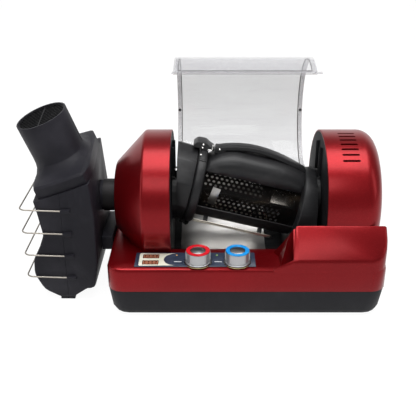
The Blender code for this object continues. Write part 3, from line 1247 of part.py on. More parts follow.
def build_lid():
    """The clear lid and its frames, swung open about the pins behind the drum."""
    hinge = place_on_axis(LID_PIN_ORBIT, LID_START)
    frame = empty("lid_axis", hinge, (-LID_OPEN_ANGLE, 0, 0))
    centre = (AXIS_Y - hinge[1], AXIS_Z - hinge[2])
    right = LID_LEFT_X + LID_LENGTH
    outer = LID_INNER + LID_THICKNESS
    section = ring_section(LID_INNER, outer, LID_START, LID_END, ROUND, centre)
    plate("lid_panel", section, LID_LEFT_X, right, finish=CLEAR, parent=frame)
    strip_outer = LID_INNER - FIT
    for name, low, high in (("left", LID_LEFT_X, LID_LEFT_X + LID_FRAME_WIDTH), ("right", right - LID_FRAME_WIDTH, right)):
        section = ring_section(strip_outer - LID_FRAME_DEPTH, strip_outer, LID_START + LID_EAR_SHARE * LID_START,
                               LID_END, ROUND, centre)
        strip = plate("lid_frame_" + name, section, low, high, finish=CLEAR, parent=frame)
        ear_low, ear_high = (low, low + LID_FRAME_WIDTH / 2) if name == "left" else (high - LID_FRAME_WIDTH / 2, high)
        ear = turned("lid_ear", rod_profile(LID_EAR_RADIUS, ear_low, ear_high), steps=SMALL_ROUND, parent=frame, cutter=True)
        cover = plate("lid_ear_clear", ring_section(strip_outer, outer + OVERRUN, 0, LID_END, ROUND, centre),
                      low - OVERRUN, high + OVERRUN, parent=frame, cutter=True)
        cut(ear, cover)
        cut(strip, ear, how="UNION")
        hole = turned("lid_ear_hole", rod_profile(LID_PIN_RADIUS + FIT, ear_low - OVERRUN, ear_high + OVERRUN), steps=TINY_ROUND,
                      parent=frame, cutter=True)
        cut(strip, hole)
        inner = strip_outer - LID_FRAME_DEPTH
        bumper = turned("lid_bumper", rod_profile(BUMPER_RADIUS, inner - BUMPER_HEIGHT, inner + LID_FRAME_DEPTH / 2), axis="Z",
                        steps=TINY_ROUND, parent=frame, cutter=True)
        bumper.rotation_euler = (BUMPER_ANGLE - math.pi / 2, 0, 0)
        bumper.location = ((low + high) / 2, centre[0], centre[1])
        cut(strip, bumper, how="UNION")
    rail_start = LID_END + FIT / outer
    rail = plate("lid_edge_rail", ring_section(outer - LID_RAIL_THICKNESS, outer, rail_start,
                                               rail_start + LID_RAIL_WIDTH / outer, 4, centre),
                 LID_LEFT_X, right, finish=STEEL, parent=frame)
    middle = outer - LID_RAIL_THICKNESS / 2
    angle = rail_start + LID_RAIL_WIDTH / outer / 2
    y = centre[0] + middle * math.cos(angle)
    z = centre[1] + middle * math.sin(angle)
    stubs = turned("lid_stubs", rod_profile(LID_RAIL_WIDTH * STUB_SHARE, LEFT_RIM_X + FIT, RIGHT_RIM_X - FIT),
                   centre=(0, y, z), steps=TINY_ROUND, parent=frame, cutter=True)
    cut(rail, stubs, how="UNION")
    for name, rim, inward, ear in (("left", LEFT_RIM_X, 1, LID_LEFT_X), ("right", RIGHT_RIM_X, -1, right)):
        back = rim - inward * PLATE_THICKNESS * 2
        low, high = sorted((back, ear + inward * LID_FRAME_WIDTH / 2))
        turned("lid_pin_" + name, rod_profile(LID_PIN_RADIUS, low, high), centre=hinge, steps=TINY_ROUND, finish=STEEL)


# Control strip and knobs


def build_panel():
    """The dark control strip, its display window and the two knobs with their spindles."""
    low = (PANEL_LEFT_X, PANEL_FRONT_Y, PANEL_Z)
    high = (PANEL_LEFT_X + PANEL_LENGTH, PANEL_FRONT_Y + PANEL_WIDTH, PANEL_Z + PANEL_THICKNESS)
    panel = block("control_panel", low, high, finish=PANEL_BLUE)
    inset = WINDOW_INSET
    window_low = (WINDOW_LEFT_X, low[1] + inset, low[2])
    window_high = (WINDOW_LEFT_X + WINDOW_LENGTH, high[1] - inset, high[2])
    block("display_window", window_low, window_high, finish=CREAM)
    opening = block("window_opening", (window_low[0] - FIT, window_low[1] - FIT, low[2] - OVERRUN),
                    (window_high[0] + FIT, window_high[1] + FIT, high[2] + OVERRUN), cutter=True)
    cut(panel, opening)
    for x in (TEMPERATURE_KNOB_X, TIME_KNOB_X):
        hole = turned("panel_hole", rod_profile(SPINDLE_HOLE_RADIUS, low[2] - OVERRUN, high[2] + OVERRUN), axis="Z",
                      centre=(x, KNOB_Y, 0), steps=SMALL_ROUND, cutter=True)
        cut(panel, hole)


def build_knob(name, x, ring_finish):
    """A knob on its spindle: a turned body, a coloured ring and a domed centre."""
    frame = empty(name + "_axis", (x, KNOB_Y, PANEL_Z + PANEL_THICKNESS + KNOB_REST_GAP))
    top = KNOB_HEIGHT
    bore = SPINDLE_RADIUS + FIT
    edge = (KNOB_RADIUS - RING_OUTER) / 2
    dish = RING_INNER - FIT
    profile = [
        (bore, 0), (KNOB_SKIRT_RADIUS, 0), (KNOB_SKIRT_RADIUS, KNOB_SKIRT_HEIGHT),
        (KNOB_RADIUS, KNOB_SKIRT_HEIGHT), (KNOB_RADIUS, top - edge), (KNOB_RADIUS - edge, top),
        (RING_OUTER + FIT, top), (RING_OUTER + FIT, top - RING_SINK), (dish, top - RING_SINK),
    ]
    for step in range(DOME_STEPS + 1):
        share = step / DOME_STEPS
        profile.append((dish * (1 - share), top + CAP_DOME_RISE * (1 - (1 - share) ** 2)))
    profile += [(0, KNOB_BORE_DEPTH), (bore, KNOB_BORE_DEPTH)]
    turned(name + "_knob", profile, axis="Z", finish=POLISHED, parent=frame)
    low = top - RING_SINK + FIT
    turned(name + "_ring", tube_profile(RING_INNER, RING_OUTER, low, low + RING_THICKNESS), axis="Z",
           finish=ring_finish, parent=frame)
    base = PANEL_Z + PANEL_THICKNESS + KNOB_REST_GAP
    turned(name + "_spindle", rod_profile(SPINDLE_RADIUS, BOARD_TOP + ENCODER_FLOOR + FIT,
                                          base + KNOB_BORE_DEPTH - KNOB_TRAVEL - RUNNING_GAP),
           axis="Z", centre=(x, KNOB_Y, 0), steps=TINY_ROUND, finish=BRASS)


# Chaff collector

COLLECTOR_BELLY_X = -303 * MM
COLLECTOR_SHOULDER_Z = 160 * MM
COLLECTOR_OUTLINE_SHARES = (
    (0.08, 1.35, 0), (0.0, 0.84, 0.1), (0.0, 0.4, 0.12), (0.075, 0.125, 0.06), (0.2, 0.118, 0.03),
    (0.41, 0.036, 0.06), (0.63, 0.033, 0.06), (0.87, 0.11, 0.14), (1.0, 0.27, 0.14), (0.985, 0.42, 0.12),
    (0.87, 0.55, 0.06), (0.8, 0.66, 0.08), (0.86, 0.88, 0.05), (0.9, 1.0, 0.05), (0.9, 1.35, 0),
)
COLLECTOR_RIM_STEPS = 2
SPIGOT_RADIUS = AIR_TUBE_OUTER - AIR_TUBE_WALL - FIT
PEDESTAL_LEFT_X = -269 * MM
PEDESTAL_RIGHT_X = -248.5 * MM
PEDESTAL_INSET = 5 * MM
FLARE_HEIGHT = 21 * MM
FLARE_STEPS = 4
LID_ROUND_POWER = 9
LID_POINTS = 28
COLLECTOR_MIDDLE_Y = 3 * MM


def collector_outline(inset=0):
    """The collector's outline in X and Z, drawn in by this much."""
    width = COLLECTOR_RIGHT_X - COLLECTOR_BELLY_X
    height = COLLECTOR_SHOULDER_Z
    corners = [(COLLECTOR_RIGHT_X - across * width, up * height, fillet * height)
               for across, up, fillet in COLLECTOR_OUTLINE_SHARES]
    points = filleted(corners, segments=2)
    moved = []
    for index, point in enumerate(points):
        back = (point - points[index - 1]).normalized()
        ahead = (points[(index + 1) % len(points)] - point).normalized()
        inward = Vector((back.y + ahead.y, -back.x - ahead.x)).normalized()
        lean = inward.dot(Vector((ahead.y, -ahead.x)))
        moved.append(point + inward * inset / lean)
    return moved


def collector_block(name, inset, edge, front, back, **kind):
    """The collector's outline given depth, with both rims rounded by this edge."""
    sections = []
    steps = COLLECTOR_RIM_STEPS if edge else 0
    for end, inward in ((front, 1), (back, -1)):
        rim = []
        for step in range(steps + 1):
            angle = math.pi / 2 * (step / steps if steps else 1)
            outline = collector_outline(inset + edge * (1 - math.sin(angle)))
            y = end + inward * edge * (1 - math.cos(angle))
            rim.append([(x, y, z) for x, z in outline])
        sections += rim if inward > 0 else reversed(rim)
    return loft(name, sections, **kind)


def lid_frame():
    """The empty on the hinge of the collector's lid, along its rear edge."""
    return empty("collector_lid_frame", (COLLECTOR_TOP_X, COLLECTOR_MIDDLE_Y, COLLECTOR_TOP_Z),
                 (COLLECTOR_ROLL, -COLLECTOR_SLOPE, 0))


def lid_section(height, roundness, inset):
    """A section of the collector's lid: a rounded rectangle that becomes the pipe's round."""
    points = []
    half_x = (CLID_LEFT + CLID_RIGHT) / 2 - inset
    half_y = COLLECTOR_DEPTH / 2 - inset
    power = LID_ROUND_POWER
    for index in range(LID_POINTS):
        angle = 2 * math.pi * index / LID_POINTS
        c, s = math.cos(angle), math.sin(angle)
        square = 1 / ((abs(c) / half_x) ** power + (abs(s) / half_y) ** power) ** (1 / power)
        radius = square + (PIPE_RADIUS - inset - square) * roundness
        points.append((radius * c + PIPE_OFFSET * roundness, radius * s, height))
    return points


def lid_shape(name, inset, below, above, **kind):
    """The collector's lid as one loft: skirt, top, flare and pipe."""
    sections = [lid_section(below, 0, inset), lid_section(-CLID_EDGE / 2 - inset, 0, inset),
                lid_section(-inset, 0, inset + CLID_EDGE / 2)]
    for step in range(1, FLARE_STEPS + 1):
        share = step / FLARE_STEPS
        sections.append(lid_section(FLARE_HEIGHT * share * share - inset * (1 - share), math.sin(share * math.pi / 2), inset))
    sections.append(lid_section(above, 1, inset))
    return loft(name, sections, **kind)


def build_collector_lid(frame):
    """The sloped lid with its outlet pipe, the grille in the pipe and the chaff screen under it."""
    lid = lid_shape("collector_lid", 0, -CLID_SKIRT, PIPE_HEIGHT, finish=BLACK_PLASTIC, parent=frame)
    hollow = lid_shape("lid_hollow", CLID_WALL, -CLID_SKIRT - OVERRUN, PIPE_HEIGHT + OVERRUN, parent=frame, cutter=True)
    cut(lid, hollow)
    bore = PIPE_RADIUS - CLID_WALL - FIT
    top = PIPE_HEIGHT - GRILLE_DEPTH
    low = top - GRILLE_THICKNESS
    grille = turned("outlet_grille", tube_profile(bore - GRILLE_BAR_WIDTH, bore, low, top), axis="Z",
                    centre=(PIPE_OFFSET, 0, 0), finish=BLACK_PLASTIC, parent=frame)
    pitch = 2 * bore / (GRILLE_BARS + 1)
    reach = bore - GRILLE_BAR_WIDTH / 2
    for index in range(GRILLE_BARS):
        y = -bore + pitch * (index + 1)
        half = math.sqrt(reach * reach - y * y)
        bar = block("grille_bar", (PIPE_OFFSET - half, y - GRILLE_BAR_WIDTH / 2, low),
                    (PIPE_OFFSET + half, y + GRILLE_BAR_WIDTH / 2, top - FIT), parent=frame, cutter=True)
        cut(grille, bar, how="UNION")
    cross = block("grille_cross", (PIPE_OFFSET - GRILLE_BAR_WIDTH / 2, -reach, low + FIT),
                  (PIPE_OFFSET + GRILLE_BAR_WIDTH / 2, reach, top - FIT * 2), parent=frame, cutter=True)
    cut(grille, cross, how="UNION")


def build_collector():
    """The chaff collector: body, front half, spigot, sloped lid, guard wires and docking bracket."""
    frame = lid_frame()
    back_y = COLLECTOR_FRONT_Y + COLLECTOR_DEPTH
    wall = COLLECTOR_WALL
    neck_low = -CLID_SKIRT - OVERRUN
    neck_inset = CLID_WALL + FIT
    reach = COLLECTOR_DEPTH
    body = None
    for name, side in (("collector_front", -1), ("collector_body", 1)):
        shell = collector_block(name, 0, COLLECTOR_EDGE, COLLECTOR_FRONT_Y, back_y, finish=BLACK_PLASTIC)
        over = block(name + "_top", (-reach, -reach, -CLID_SKIRT - FIT), (reach, reach, reach), parent=frame, cutter=True)
        cut(shell, over)
        neck = loft(name + "_neck", (lid_section(neck_low, 0, neck_inset), lid_section(-CLID_WALL - CLID_EDGE, 0, neck_inset)),
                    parent=frame, cutter=True)
        pedestal = block(name + "_pedestal", (PEDESTAL_LEFT_X, COLLECTOR_FRONT_Y + PEDESTAL_INSET, 0),
                         (PEDESTAL_RIGHT_X, back_y - PEDESTAL_INSET, PEDESTAL_INSET + wall), cutter=True)
        cut(shell, neck, pedestal, how="UNION")
        hollow = collector_block(name + "_hollow", wall, 0, COLLECTOR_FRONT_Y + wall, back_y - wall, cutter=True)
        under = block(name + "_under", (-reach, -reach, -CLID_SKIRT - FIT - CLID_WALL), (reach, reach, reach),
                      parent=frame, cutter=True)
        cut(hollow, under)
        cut(shell, hollow)
        mouth = loft(name + "_mouth", (lid_section(neck_low - CLID_WALL, 0, neck_inset + CLID_WALL),
                                       lid_section(OVERRUN, 0, neck_inset + CLID_WALL)), parent=frame, cutter=True)
        cut(shell, mouth)
        seam = COLLECTOR_SEAM_X + side * FIT / 2
        low, high = sorted((seam, seam - side * reach))
        other_half = block(name + "_seam", (low, COLLECTOR_FRONT_Y - OVERRUN, -OVERRUN),
                           (high, back_y + OVERRUN, COLLECTOR_TOP_Z + reach), cutter=True)
        cut(shell, other_half)
        body = shell
    hole = turned("spigot_hole", rod_profile(SPIGOT_RADIUS + FIT, COLLECTOR_RIGHT_X - wall - OVERRUN,
                                             COLLECTOR_RIGHT_X + OVERRUN), centre=AXIS, cutter=True)
    cut(body, hole)
    turned("collector_spigot", tube_profile(SPIGOT_RADIUS - SPIGOT_WALL, SPIGOT_RADIUS, COLLECTOR_RIGHT_X - wall,
                                            COLLECTOR_RIGHT_X + SPIGOT_LENGTH), centre=AXIS, finish=BLACK_PLASTIC)
    build_collector_lid(frame)
    build_guard(body, back_y)
    low = (COLLECTOR_RIGHT_X + FIT, BRACKET_FRONT_Y, BRACKET_Z)
    high = (-HALF_WIDTH - FIT, BRACKET_BACK_Y, BRACKET_Z + BRACKET_HEIGHT)
    block("docking_bracket", low, high, finish=BLACK_PLASTIC)


def build_guard(body, back_y):
    """Four bent wires that keep hands off the hot front half, and the clips that hold their ends."""
    front = COLLECTOR_FRONT_Y - WIRE_STAND
    back = back_y + WIRE_STAND
    for index in range(WIRE_COUNT):
        z = WIRE_FIRST_Z + (WIRE_LAST_Z - WIRE_FIRST_Z) * index / (WIRE_COUNT - 1)
        slope = WIRE_RISE / (WIRE_CLIP_X - WIRE_REACH_X)
        points = []
        bends = arc(WIRE_BEND, 3 * math.pi / 2, math.pi, 3, (WIRE_REACH_X + WIRE_BEND, front + WIRE_BEND))
        bends += arc(WIRE_BEND, math.pi, math.pi / 2, 3, (WIRE_REACH_X + WIRE_BEND, back - WIRE_BEND))
        for x, y in [(WIRE_CLIP_X, front)] + bends + [(WIRE_CLIP_X, back)]:
            points.append((x, y, z + (WIRE_CLIP_X - x) * slope))
        wire("guard_wire_" + str(index + 1), points, WIRE_RADIUS, STEEL)
        for y in (front, back):
            low = WIRE_CLIP_X + FIT
            inner = COLLECTOR_FRONT_Y + COLLECTOR_WALL / 2 if y == front else back_y - COLLECTOR_WALL / 2
            outer = y + math.copysign(WIRE_RADIUS * 2, y - inner)
            y_low, y_high = sorted((inner, outer))
            clip = block("wire_clip", (low, y_low, z - CLIP_HEIGHT / 2), (low + CLIP_LENGTH, y_high, z + CLIP_HEIGHT / 2),
                         cutter=True)
            cut(body, clip, how="UNION")


def main():
    """Build every piece of the roaster."""
    build_tray()
    build_inlet()
    build_casing()
    build_boards()
    build_left_housing()
    build_right_housing()
    build_inner_plate("left_inner_plate", LEFT_RIM_X, 1)
    build_inner_plate("right_inner_plate", RIGHT_RIM_X, -1)
    build_bay()
    build_carrier("idle_carrier", LEFT_RIM_X, 1, LEFT_SHAFT_LENGTH)
    build_carrier("drive_carrier", RIGHT_RIM_X, -1, RIGHT_SHAFT_LENGTH)
    build_bearing("idle_bearing", LEFT_RIM_X, 1)
    build_bearing("drive_bearing", RIGHT_RIM_X, -1)
    build_drive()
    build_air_path()
    build_chamber()
    build_lid()
    build_panel()
    build_knob("temperature", TEMPERATURE_KNOB_X, RING_RED)
    build_knob("time", TIME_KNOB_X, RING_BLUE)
    build_collector()


main()
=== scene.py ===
"""The dressed home coffee bean roaster: finishes, fine detail, studio and camera over the CAD frame.

Lengths are in metres, X to the right, Y to the back and Z up, as in the CAD frame. The roasting chamber
is dressed in its own frame, tilted about the drum's turning axis, with u along it and w up from it.
"""

import json
import logging
import math
from dataclasses import dataclass, field
from enum import Enum
from typing import Any, Callable, Sequence

import bmesh
import bpy
from mathutils import Matrix, Vector

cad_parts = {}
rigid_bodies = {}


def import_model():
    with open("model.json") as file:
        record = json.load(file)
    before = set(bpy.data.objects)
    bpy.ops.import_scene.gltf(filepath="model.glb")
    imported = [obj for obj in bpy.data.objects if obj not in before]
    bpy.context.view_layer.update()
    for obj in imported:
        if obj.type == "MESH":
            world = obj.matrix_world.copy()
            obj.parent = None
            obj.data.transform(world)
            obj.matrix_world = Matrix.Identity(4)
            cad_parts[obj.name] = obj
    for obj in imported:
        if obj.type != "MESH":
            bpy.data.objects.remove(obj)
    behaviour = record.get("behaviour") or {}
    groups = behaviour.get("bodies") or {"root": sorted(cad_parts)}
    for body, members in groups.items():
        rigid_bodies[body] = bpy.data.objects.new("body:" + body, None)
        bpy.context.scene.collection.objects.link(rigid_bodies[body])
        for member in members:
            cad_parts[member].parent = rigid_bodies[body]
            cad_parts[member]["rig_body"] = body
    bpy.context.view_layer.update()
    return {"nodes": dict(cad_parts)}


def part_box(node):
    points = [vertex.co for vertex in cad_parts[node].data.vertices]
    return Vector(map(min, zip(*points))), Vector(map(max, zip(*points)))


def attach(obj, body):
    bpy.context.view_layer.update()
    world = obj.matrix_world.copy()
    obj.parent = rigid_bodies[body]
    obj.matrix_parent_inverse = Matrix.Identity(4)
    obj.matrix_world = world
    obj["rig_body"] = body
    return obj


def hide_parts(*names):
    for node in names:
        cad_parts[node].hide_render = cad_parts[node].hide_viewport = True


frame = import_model()

logging.basicConfig(level=logging.INFO, format="%(message)s")
LOG = logging.getLogger("roaster")

MM = 0.001
MICRON = 0.001 * MM
DEGREE = math.pi / 180
QUARTER_TURN = math.pi / 2
SHARP = 35 * DEGREE
WELD = 1e-7

Colour = tuple[float, float, float]
Flat = tuple[float, float]
Point = tuple[float, float, float]
Mesh = bpy.types.Mesh
Socket = bpy.types.NodeSocket

# A point of the axis that the housings, the drum and the lid share.
AXIS: Point = (0.0, 15 * MM, 132.7 * MM)


# Nodes


def operator(operation: str, reflected: bool = False) -> Callable[..., "Value"]:
    """Make a method of Value that adds one Math node.

    Args:
        operation: The node's operation.
        reflected: True where the value is the last term.

    Returns:
        The method.
    """

    def method(self: "Value", *others: "Value | float") -> "Value":
        """The node's result."""
        terms = (*others, self) if reflected else (self, *others)
        made = self.tree.node("ShaderNodeMath", {"operation": operation}, dict(enumerate(terms)))
        return Value(self.tree, made.outputs[0])

    return method


class Value:
    """A number that varies over a surface or along a pattern, with the operators that its maths needs."""

    def __init__(self, tree: "NodeTree", socket: Socket) -> None:
        """Wrap a socket of a tree."""
        self.tree = tree
        self.socket = socket

    __add__ = __radd__ = operator("ADD")
    __sub__ = operator("SUBTRACT")
    __rsub__ = operator("SUBTRACT", reflected=True)
    __mul__ = __rmul__ = operator("MULTIPLY")
    __truediv__ = operator("DIVIDE")
    __pow__ = operator("POWER")
    floor = operator("FLOOR")
    sine = operator("SINE")
    cosine = operator("COSINE")
    root = operator("SQRT")
    over = operator("GREATER_THAN")

    def between(self, low: float, high: float) -> "Value":
        """Zero at and below low, one at and above high, and smooth between them.

        Args:
            low: The number up to which the result is zero.
            high: The number from which on it is one.

        Returns:
            The new value.
        """
        made = self.tree.node("ShaderNodeMapRange", {"interpolation_type": "SMOOTHSTEP"},
                              {0: self, 1: low, 2: high, 3: 0.0, 4: 1.0})
        return Value(self.tree, made.outputs[0])


class NodeTree:
    """A node tree that is filled by one method for any node."""

    def __init__(self, tree: bpy.types.NodeTree) -> None:
        """Wrap a tree."""
        self.tree = tree

    def node(self, kind: str, settings: dict[str, Any] | None = None,
             inputs: dict[int | str, Any] | None = None) -> bpy.types.Node:
        """Add a node.

        Args:
            kind: The node's type.
            settings: Its properties, which are set first.
            inputs: The numbers, colours or links of its sockets.

        Returns:
            The node.
        """
        made = self.tree.nodes.new(kind)
        for name, setting in (settings or {}).items():
            setattr(made, name, setting)
        for name, value in (inputs or {}).items():
            self.join(made.inputs[name], value)
        return made

    def join(self, socket: Socket, value: Any) -> None:
        """Link a socket to a value or another socket, or set its constant.

        Args:
            socket: The input socket.
            value: A value, an output socket or a constant.
        """
        if isinstance(value, Value):
            value = value.socket
        if isinstance(value, Socket):
            self.tree.links.new(value, socket)
        else:
            socket.default_value = value

    def vector(self, x: Value | float, y: Value | float, z: Value | float) -> Socket:
        """A vector of three numbers."""
        return self.node("ShaderNodeCombineXYZ", None, {0: x, 1: y, 2: z}).outputs[0]


class SurfaceTree(NodeTree):
    """A material's tree, with the patterns that the finishes share."""

    def __init__(self, material: bpy.types.Material) -> None:
        """Start the tree of a material with nodes.

        Args:
            material: The material, which uses nodes.
        """
        super().__init__(material.node_tree)
        self.shader = self.tree.nodes["Principled BSDF"]
        self.place = self.node("ShaderNodeTexCoord").outputs["Object"]

    def mapped(self, scale: Point, turn: Point = (0, 0, 0)) -> Socket:
        """The object's coordinates, turned and stretched."""
        return self.node("ShaderNodeMapping", {"vector_type": "POINT"},
                         {"Vector": self.place, "Rotation": turn, "Scale": scale}).outputs[0]

    def noise(self, scale: float, detail: float = 3.0, place: Socket | None = None) -> Value:
        """Soft noise between zero and one.

        Args:
            scale: Roughly how many waves go to a metre.
            detail: How many finer waves lie on them.
            place: The coordinates, or none for the object's own.

        Returns:
            The noise.
        """
        made = self.node("ShaderNodeTexNoise", None,
                         {"Vector": place or self.place, "Scale": scale, "Detail": detail})
        return Value(self, made.outputs[0])

    def cells(self, scale: float, output: str = "Distance") -> Value:
        """The distance to the middle of a cell, or a number of its own for each cell."""
        made = self.node("ShaderNodeTexVoronoi", None, {"Vector": self.place, "Scale": scale})
        return Value(self, made.outputs[output])

    def blend(self, share: Value | float, first: Any, second: Any) -> Socket:
        """A colour between two colours.

        Args:
            share: The second colour's share.
            first: A colour or a socket.
            second: A colour or a socket.

        Returns:
            The socket of the colour between.
        """
        ends = [(*end, 1.0) if isinstance(end, tuple) else end for end in (first, second)]
        made = self.node("ShaderNodeMix", {"data_type": "RGBA"}, {0: share, 6: ends[0], 7: ends[1]})
        return made.outputs[2]

    def bump(self, height: Value, depth: float, below: Socket | None = None) -> Socket:
        """A normal that follows a height, over another normal.

        Args:
            height: The height, from zero to one.
            depth: What a height of one stands for, in metres.
            below: The normal that it is laid over, or none.

        Returns:
            The normal's socket.
        """
        made = self.node("ShaderNodeBump", None, {"Height": height, "Strength": 1.0, "Distance": depth})
        if below is not None:
            self.join(made.inputs["Normal"], below)
        return made.outputs[0]

    def dress(self, **inputs: Any) -> None:
        """Set or link the shader's sockets, named with underscores for spaces.

        Args:
            inputs: Values, sockets, colours or numbers, by the sockets' names.
        """
        for name, value in inputs.items():
            if isinstance(value, tuple):
                value = (*value, 1.0)
            self.join(self.shader.inputs[name.replace("_", " ")], value)


# Finishes


@dataclass(frozen=True)
class Finish:
    """A finish: the name of its material and the record's slot it belongs to."""

    name: str
    slot: str

    def material(self) -> bpy.types.Material:
        """Build the finish's material at its first use.

        Returns:
            The material.
        """
        made = bpy.data.materials.get(self.name)
        if made is None:
            made = bpy.data.materials.new(self.name)
            made.use_nodes = True
            self.lay(SurfaceTree(made))
        return made

    def lay(self, tree: SurfaceTree) -> None:
        """Fill the material's tree."""
        raise NotImplementedError


@dataclass(frozen=True)
class MetallicPaint(Finish):
    """Paint with metal flakes under a clear coat."""

    colour: Colour = (0.2, 0.0012, 0.004)
    flake: Colour = (0.5, 0.03, 0.032)
    deep: Colour = (0.09, 0.0006, 0.002)
    flakes_per_metre: float = 2400.0
    peel_per_metre: float = 420.0
    metallic: float = 0.74
    coat: float = 0.22

    def lay(self, tree: SurfaceTree) -> None:
        """Flakes in the colour, a faint orange peel and soft dust marks.

        Args:
            tree: The finish's shader tree.
        """
        chance = tree.cells(self.flakes_per_metre, "Color")
        cloud = tree.noise(7.0, 2.0)
        body = tree.blend(cloud.between(0.35, 0.75) * 0.35, self.colour, self.deep)
        body = tree.blend(chance ** 6.0 * 0.5, body, self.flake)
        dust = tree.noise(46.0, 5.0).between(0.55, 0.8)
        grain = tree.bump(chance, 6 * MICRON)
        peel = tree.bump(tree.noise(self.peel_per_metre, 1.0), 30 * MICRON, grain)
        tree.dress(Base_Color=body, Metallic=self.metallic, Roughness=0.3 + dust * 0.07 + chance * 0.05,
                   Normal=peel, Coat_Weight=self.coat, Coat_Roughness=0.22, Specular_IOR_Level=0.2)


@dataclass(frozen=True)
class MouldedPlastic(Finish):
    """Plastic from an etched mould: a fine grain, and a little paler where it is rubbed."""

    colour: Colour = (0.018, 0.018, 0.02)
    rubbed: Colour = (0.045, 0.045, 0.048)
    roughness: float = 0.5
    grain_per_metre: float = 1500.0
    grain_depth: float = 60 * MICRON
    mottle: float = 0.5
    gloss: float = 0.15

    def lay(self, tree: SurfaceTree) -> None:
        """Grain from small cells, rubbed patches and an uneven sheen.

        Args:
            tree: The finish's shader tree.
        """
        grain = tree.cells(self.grain_per_metre)
        fine = tree.noise(self.grain_per_metre * 0.7, 2.0)
        patches = tree.noise(16.0, 4.0).between(0.45, 0.75)
        scuffs = tree.noise(60.0, 6.0, tree.mapped((1.0, 1.0, 0.25), (0.4, 0.2, 0.0))).between(0.6, 0.72)
        body = tree.blend(patches * self.mottle + scuffs * 0.2, self.colour, self.rubbed)
        relief = tree.bump(grain * 0.7 + fine * 0.5, self.grain_depth)
        tree.dress(Base_Color=body, Roughness=self.roughness + fine * 0.12 - patches * 0.06, Normal=relief,
                   Specular_IOR_Level=self.gloss)


@dataclass(frozen=True)
class SatinCoating(Finish):
    """A sprayed black coating that has been near the heat: faint streaks, dust and a soft sheen."""

    colour: Colour = (0.012, 0.012, 0.013)
    worn: Colour = (0.045, 0.044, 0.045)
    roughness: float = 0.34

    def lay(self, tree: SurfaceTree) -> None:
        """Fine spray grain, streaks along the piece and a little dust.

        Args:
            tree: The finish's shader tree.
        """
        spray = tree.noise(1300.0, 2.0)
        streaks = tree.noise(220.0, 4.0, tree.mapped((0.12, 1.0, 1.0), (0.0, -0.244, 0.0)))
        dust = tree.noise(34.0, 6.0).between(0.55, 0.78)
        body = tree.blend(dust * 0.45 + streaks.between(0.5, 0.9) * 0.25, self.colour, self.worn)
        relief = tree.bump(spray + streaks * 0.4, 40 * MICRON)
        tree.dress(Base_Color=body, Roughness=self.roughness + dust * 0.14 + spray * 0.08, Normal=relief,
                   Specular_IOR_Level=0.26)


@dataclass(frozen=True)
class Rubber(Finish):
    """Matt rubber with a faint bloom."""

    def lay(self, tree: SurfaceTree) -> None:
        """A fine tooth and pale bloom.

        Args:
            tree: The finish's shader tree.
        """
        bloom = tree.noise(90.0, 5.0).between(0.45, 0.8)
        body = tree.blend(bloom * 0.5, (0.008, 0.008, 0.008), (0.035, 0.034, 0.033))
        relief = tree.bump(tree.noise(1900.0, 2.0), 50 * MICRON)
        tree.dress(Base_Color=body, Roughness=0.78 + bloom * 0.14, Normal=relief)


class Direction(Enum):
    """The way a metal's brush lines run."""

    ALONG_X = (0.03, 1.0, 1.0)
    ALONG_Z = (1.0, 1.0, 0.03)


@dataclass(frozen=True)
class BrushedMetal(Finish):
    """Bare metal with brush lines and a little stain."""

    colour: Colour = (0.62, 0.6, 0.58)
    stain: Colour = (0.34, 0.3, 0.26)
    roughness: float = 0.24
    direction: Direction = Direction.ALONG_X
    stained: float = 0.4

    def lay(self, tree: SurfaceTree) -> None:
        """Lines along one way, in the colour, the roughness and the relief.

        Args:
            tree: The finish's shader tree.
        """
        lines = tree.noise(900.0, 4.0, tree.mapped(self.direction.value))
        cloud = tree.noise(28.0, 5.0).between(0.45, 0.8)
        body = tree.blend(cloud * self.stained + lines * 0.15, self.colour, self.stain)
        relief = tree.bump(lines, 20 * MICRON)
        tree.dress(Base_Color=body, Metallic=1.0, Roughness=self.roughness + lines * 0.16 + cloud * 0.08,
                   Normal=relief)


@dataclass(frozen=True)
class PolishedMetal(Finish):
    """Bright metal with finger marks and hair lines."""

    colour: Colour = (0.82, 0.81, 0.79)
    roughness: float = 0.09

    def lay(self, tree: SurfaceTree) -> None:
        """Smudges in the roughness and hair lines in the relief.

        Args:
            tree: The finish's shader tree.
        """
        smudge = tree.noise(120.0, 5.0).between(0.45, 0.75)
        hair = tree.noise(1500.0, 3.0, tree.mapped((0.05, 1.0, 1.0), (0.0, 0.0, 0.6)))
        body = tree.blend(smudge * 0.3, self.colour, (0.6, 0.59, 0.58))
        tree.dress(Base_Color=body, Metallic=1.0, Roughness=self.roughness + smudge * 0.1,
                   Normal=tree.bump(hair, 4 * MICRON))


@dataclass(frozen=True)
class DrumGlass(Finish):
    """Heatproof glass with a thin brown film of coffee oil, see-through by its alpha."""

    clear: Colour = (0.05, 0.045, 0.04)
    film: Colour = (0.16, 0.1, 0.05)

    def lay(self, tree: SurfaceTree) -> None:
        """Runs of film that thicken in patches.

        Args:
            tree: The finish's shader tree.
        """
        runs = tree.noise(70.0, 6.0, tree.mapped((0.3, 1.0, 1.0)))
        specks = tree.noise(420.0, 4.0).between(0.58, 0.72)
        film = runs.between(0.5, 0.8)
        body = tree.blend(film * 0.8 + specks * 0.2, self.clear, self.film)
        tree.dress(Base_Color=body, Alpha=0.02 + film * 0.05 + specks * 0.04, Roughness=0.04 + film * 0.14,
                   Normal=tree.bump(runs, 20 * MICRON), Specular_IOR_Level=0.35)


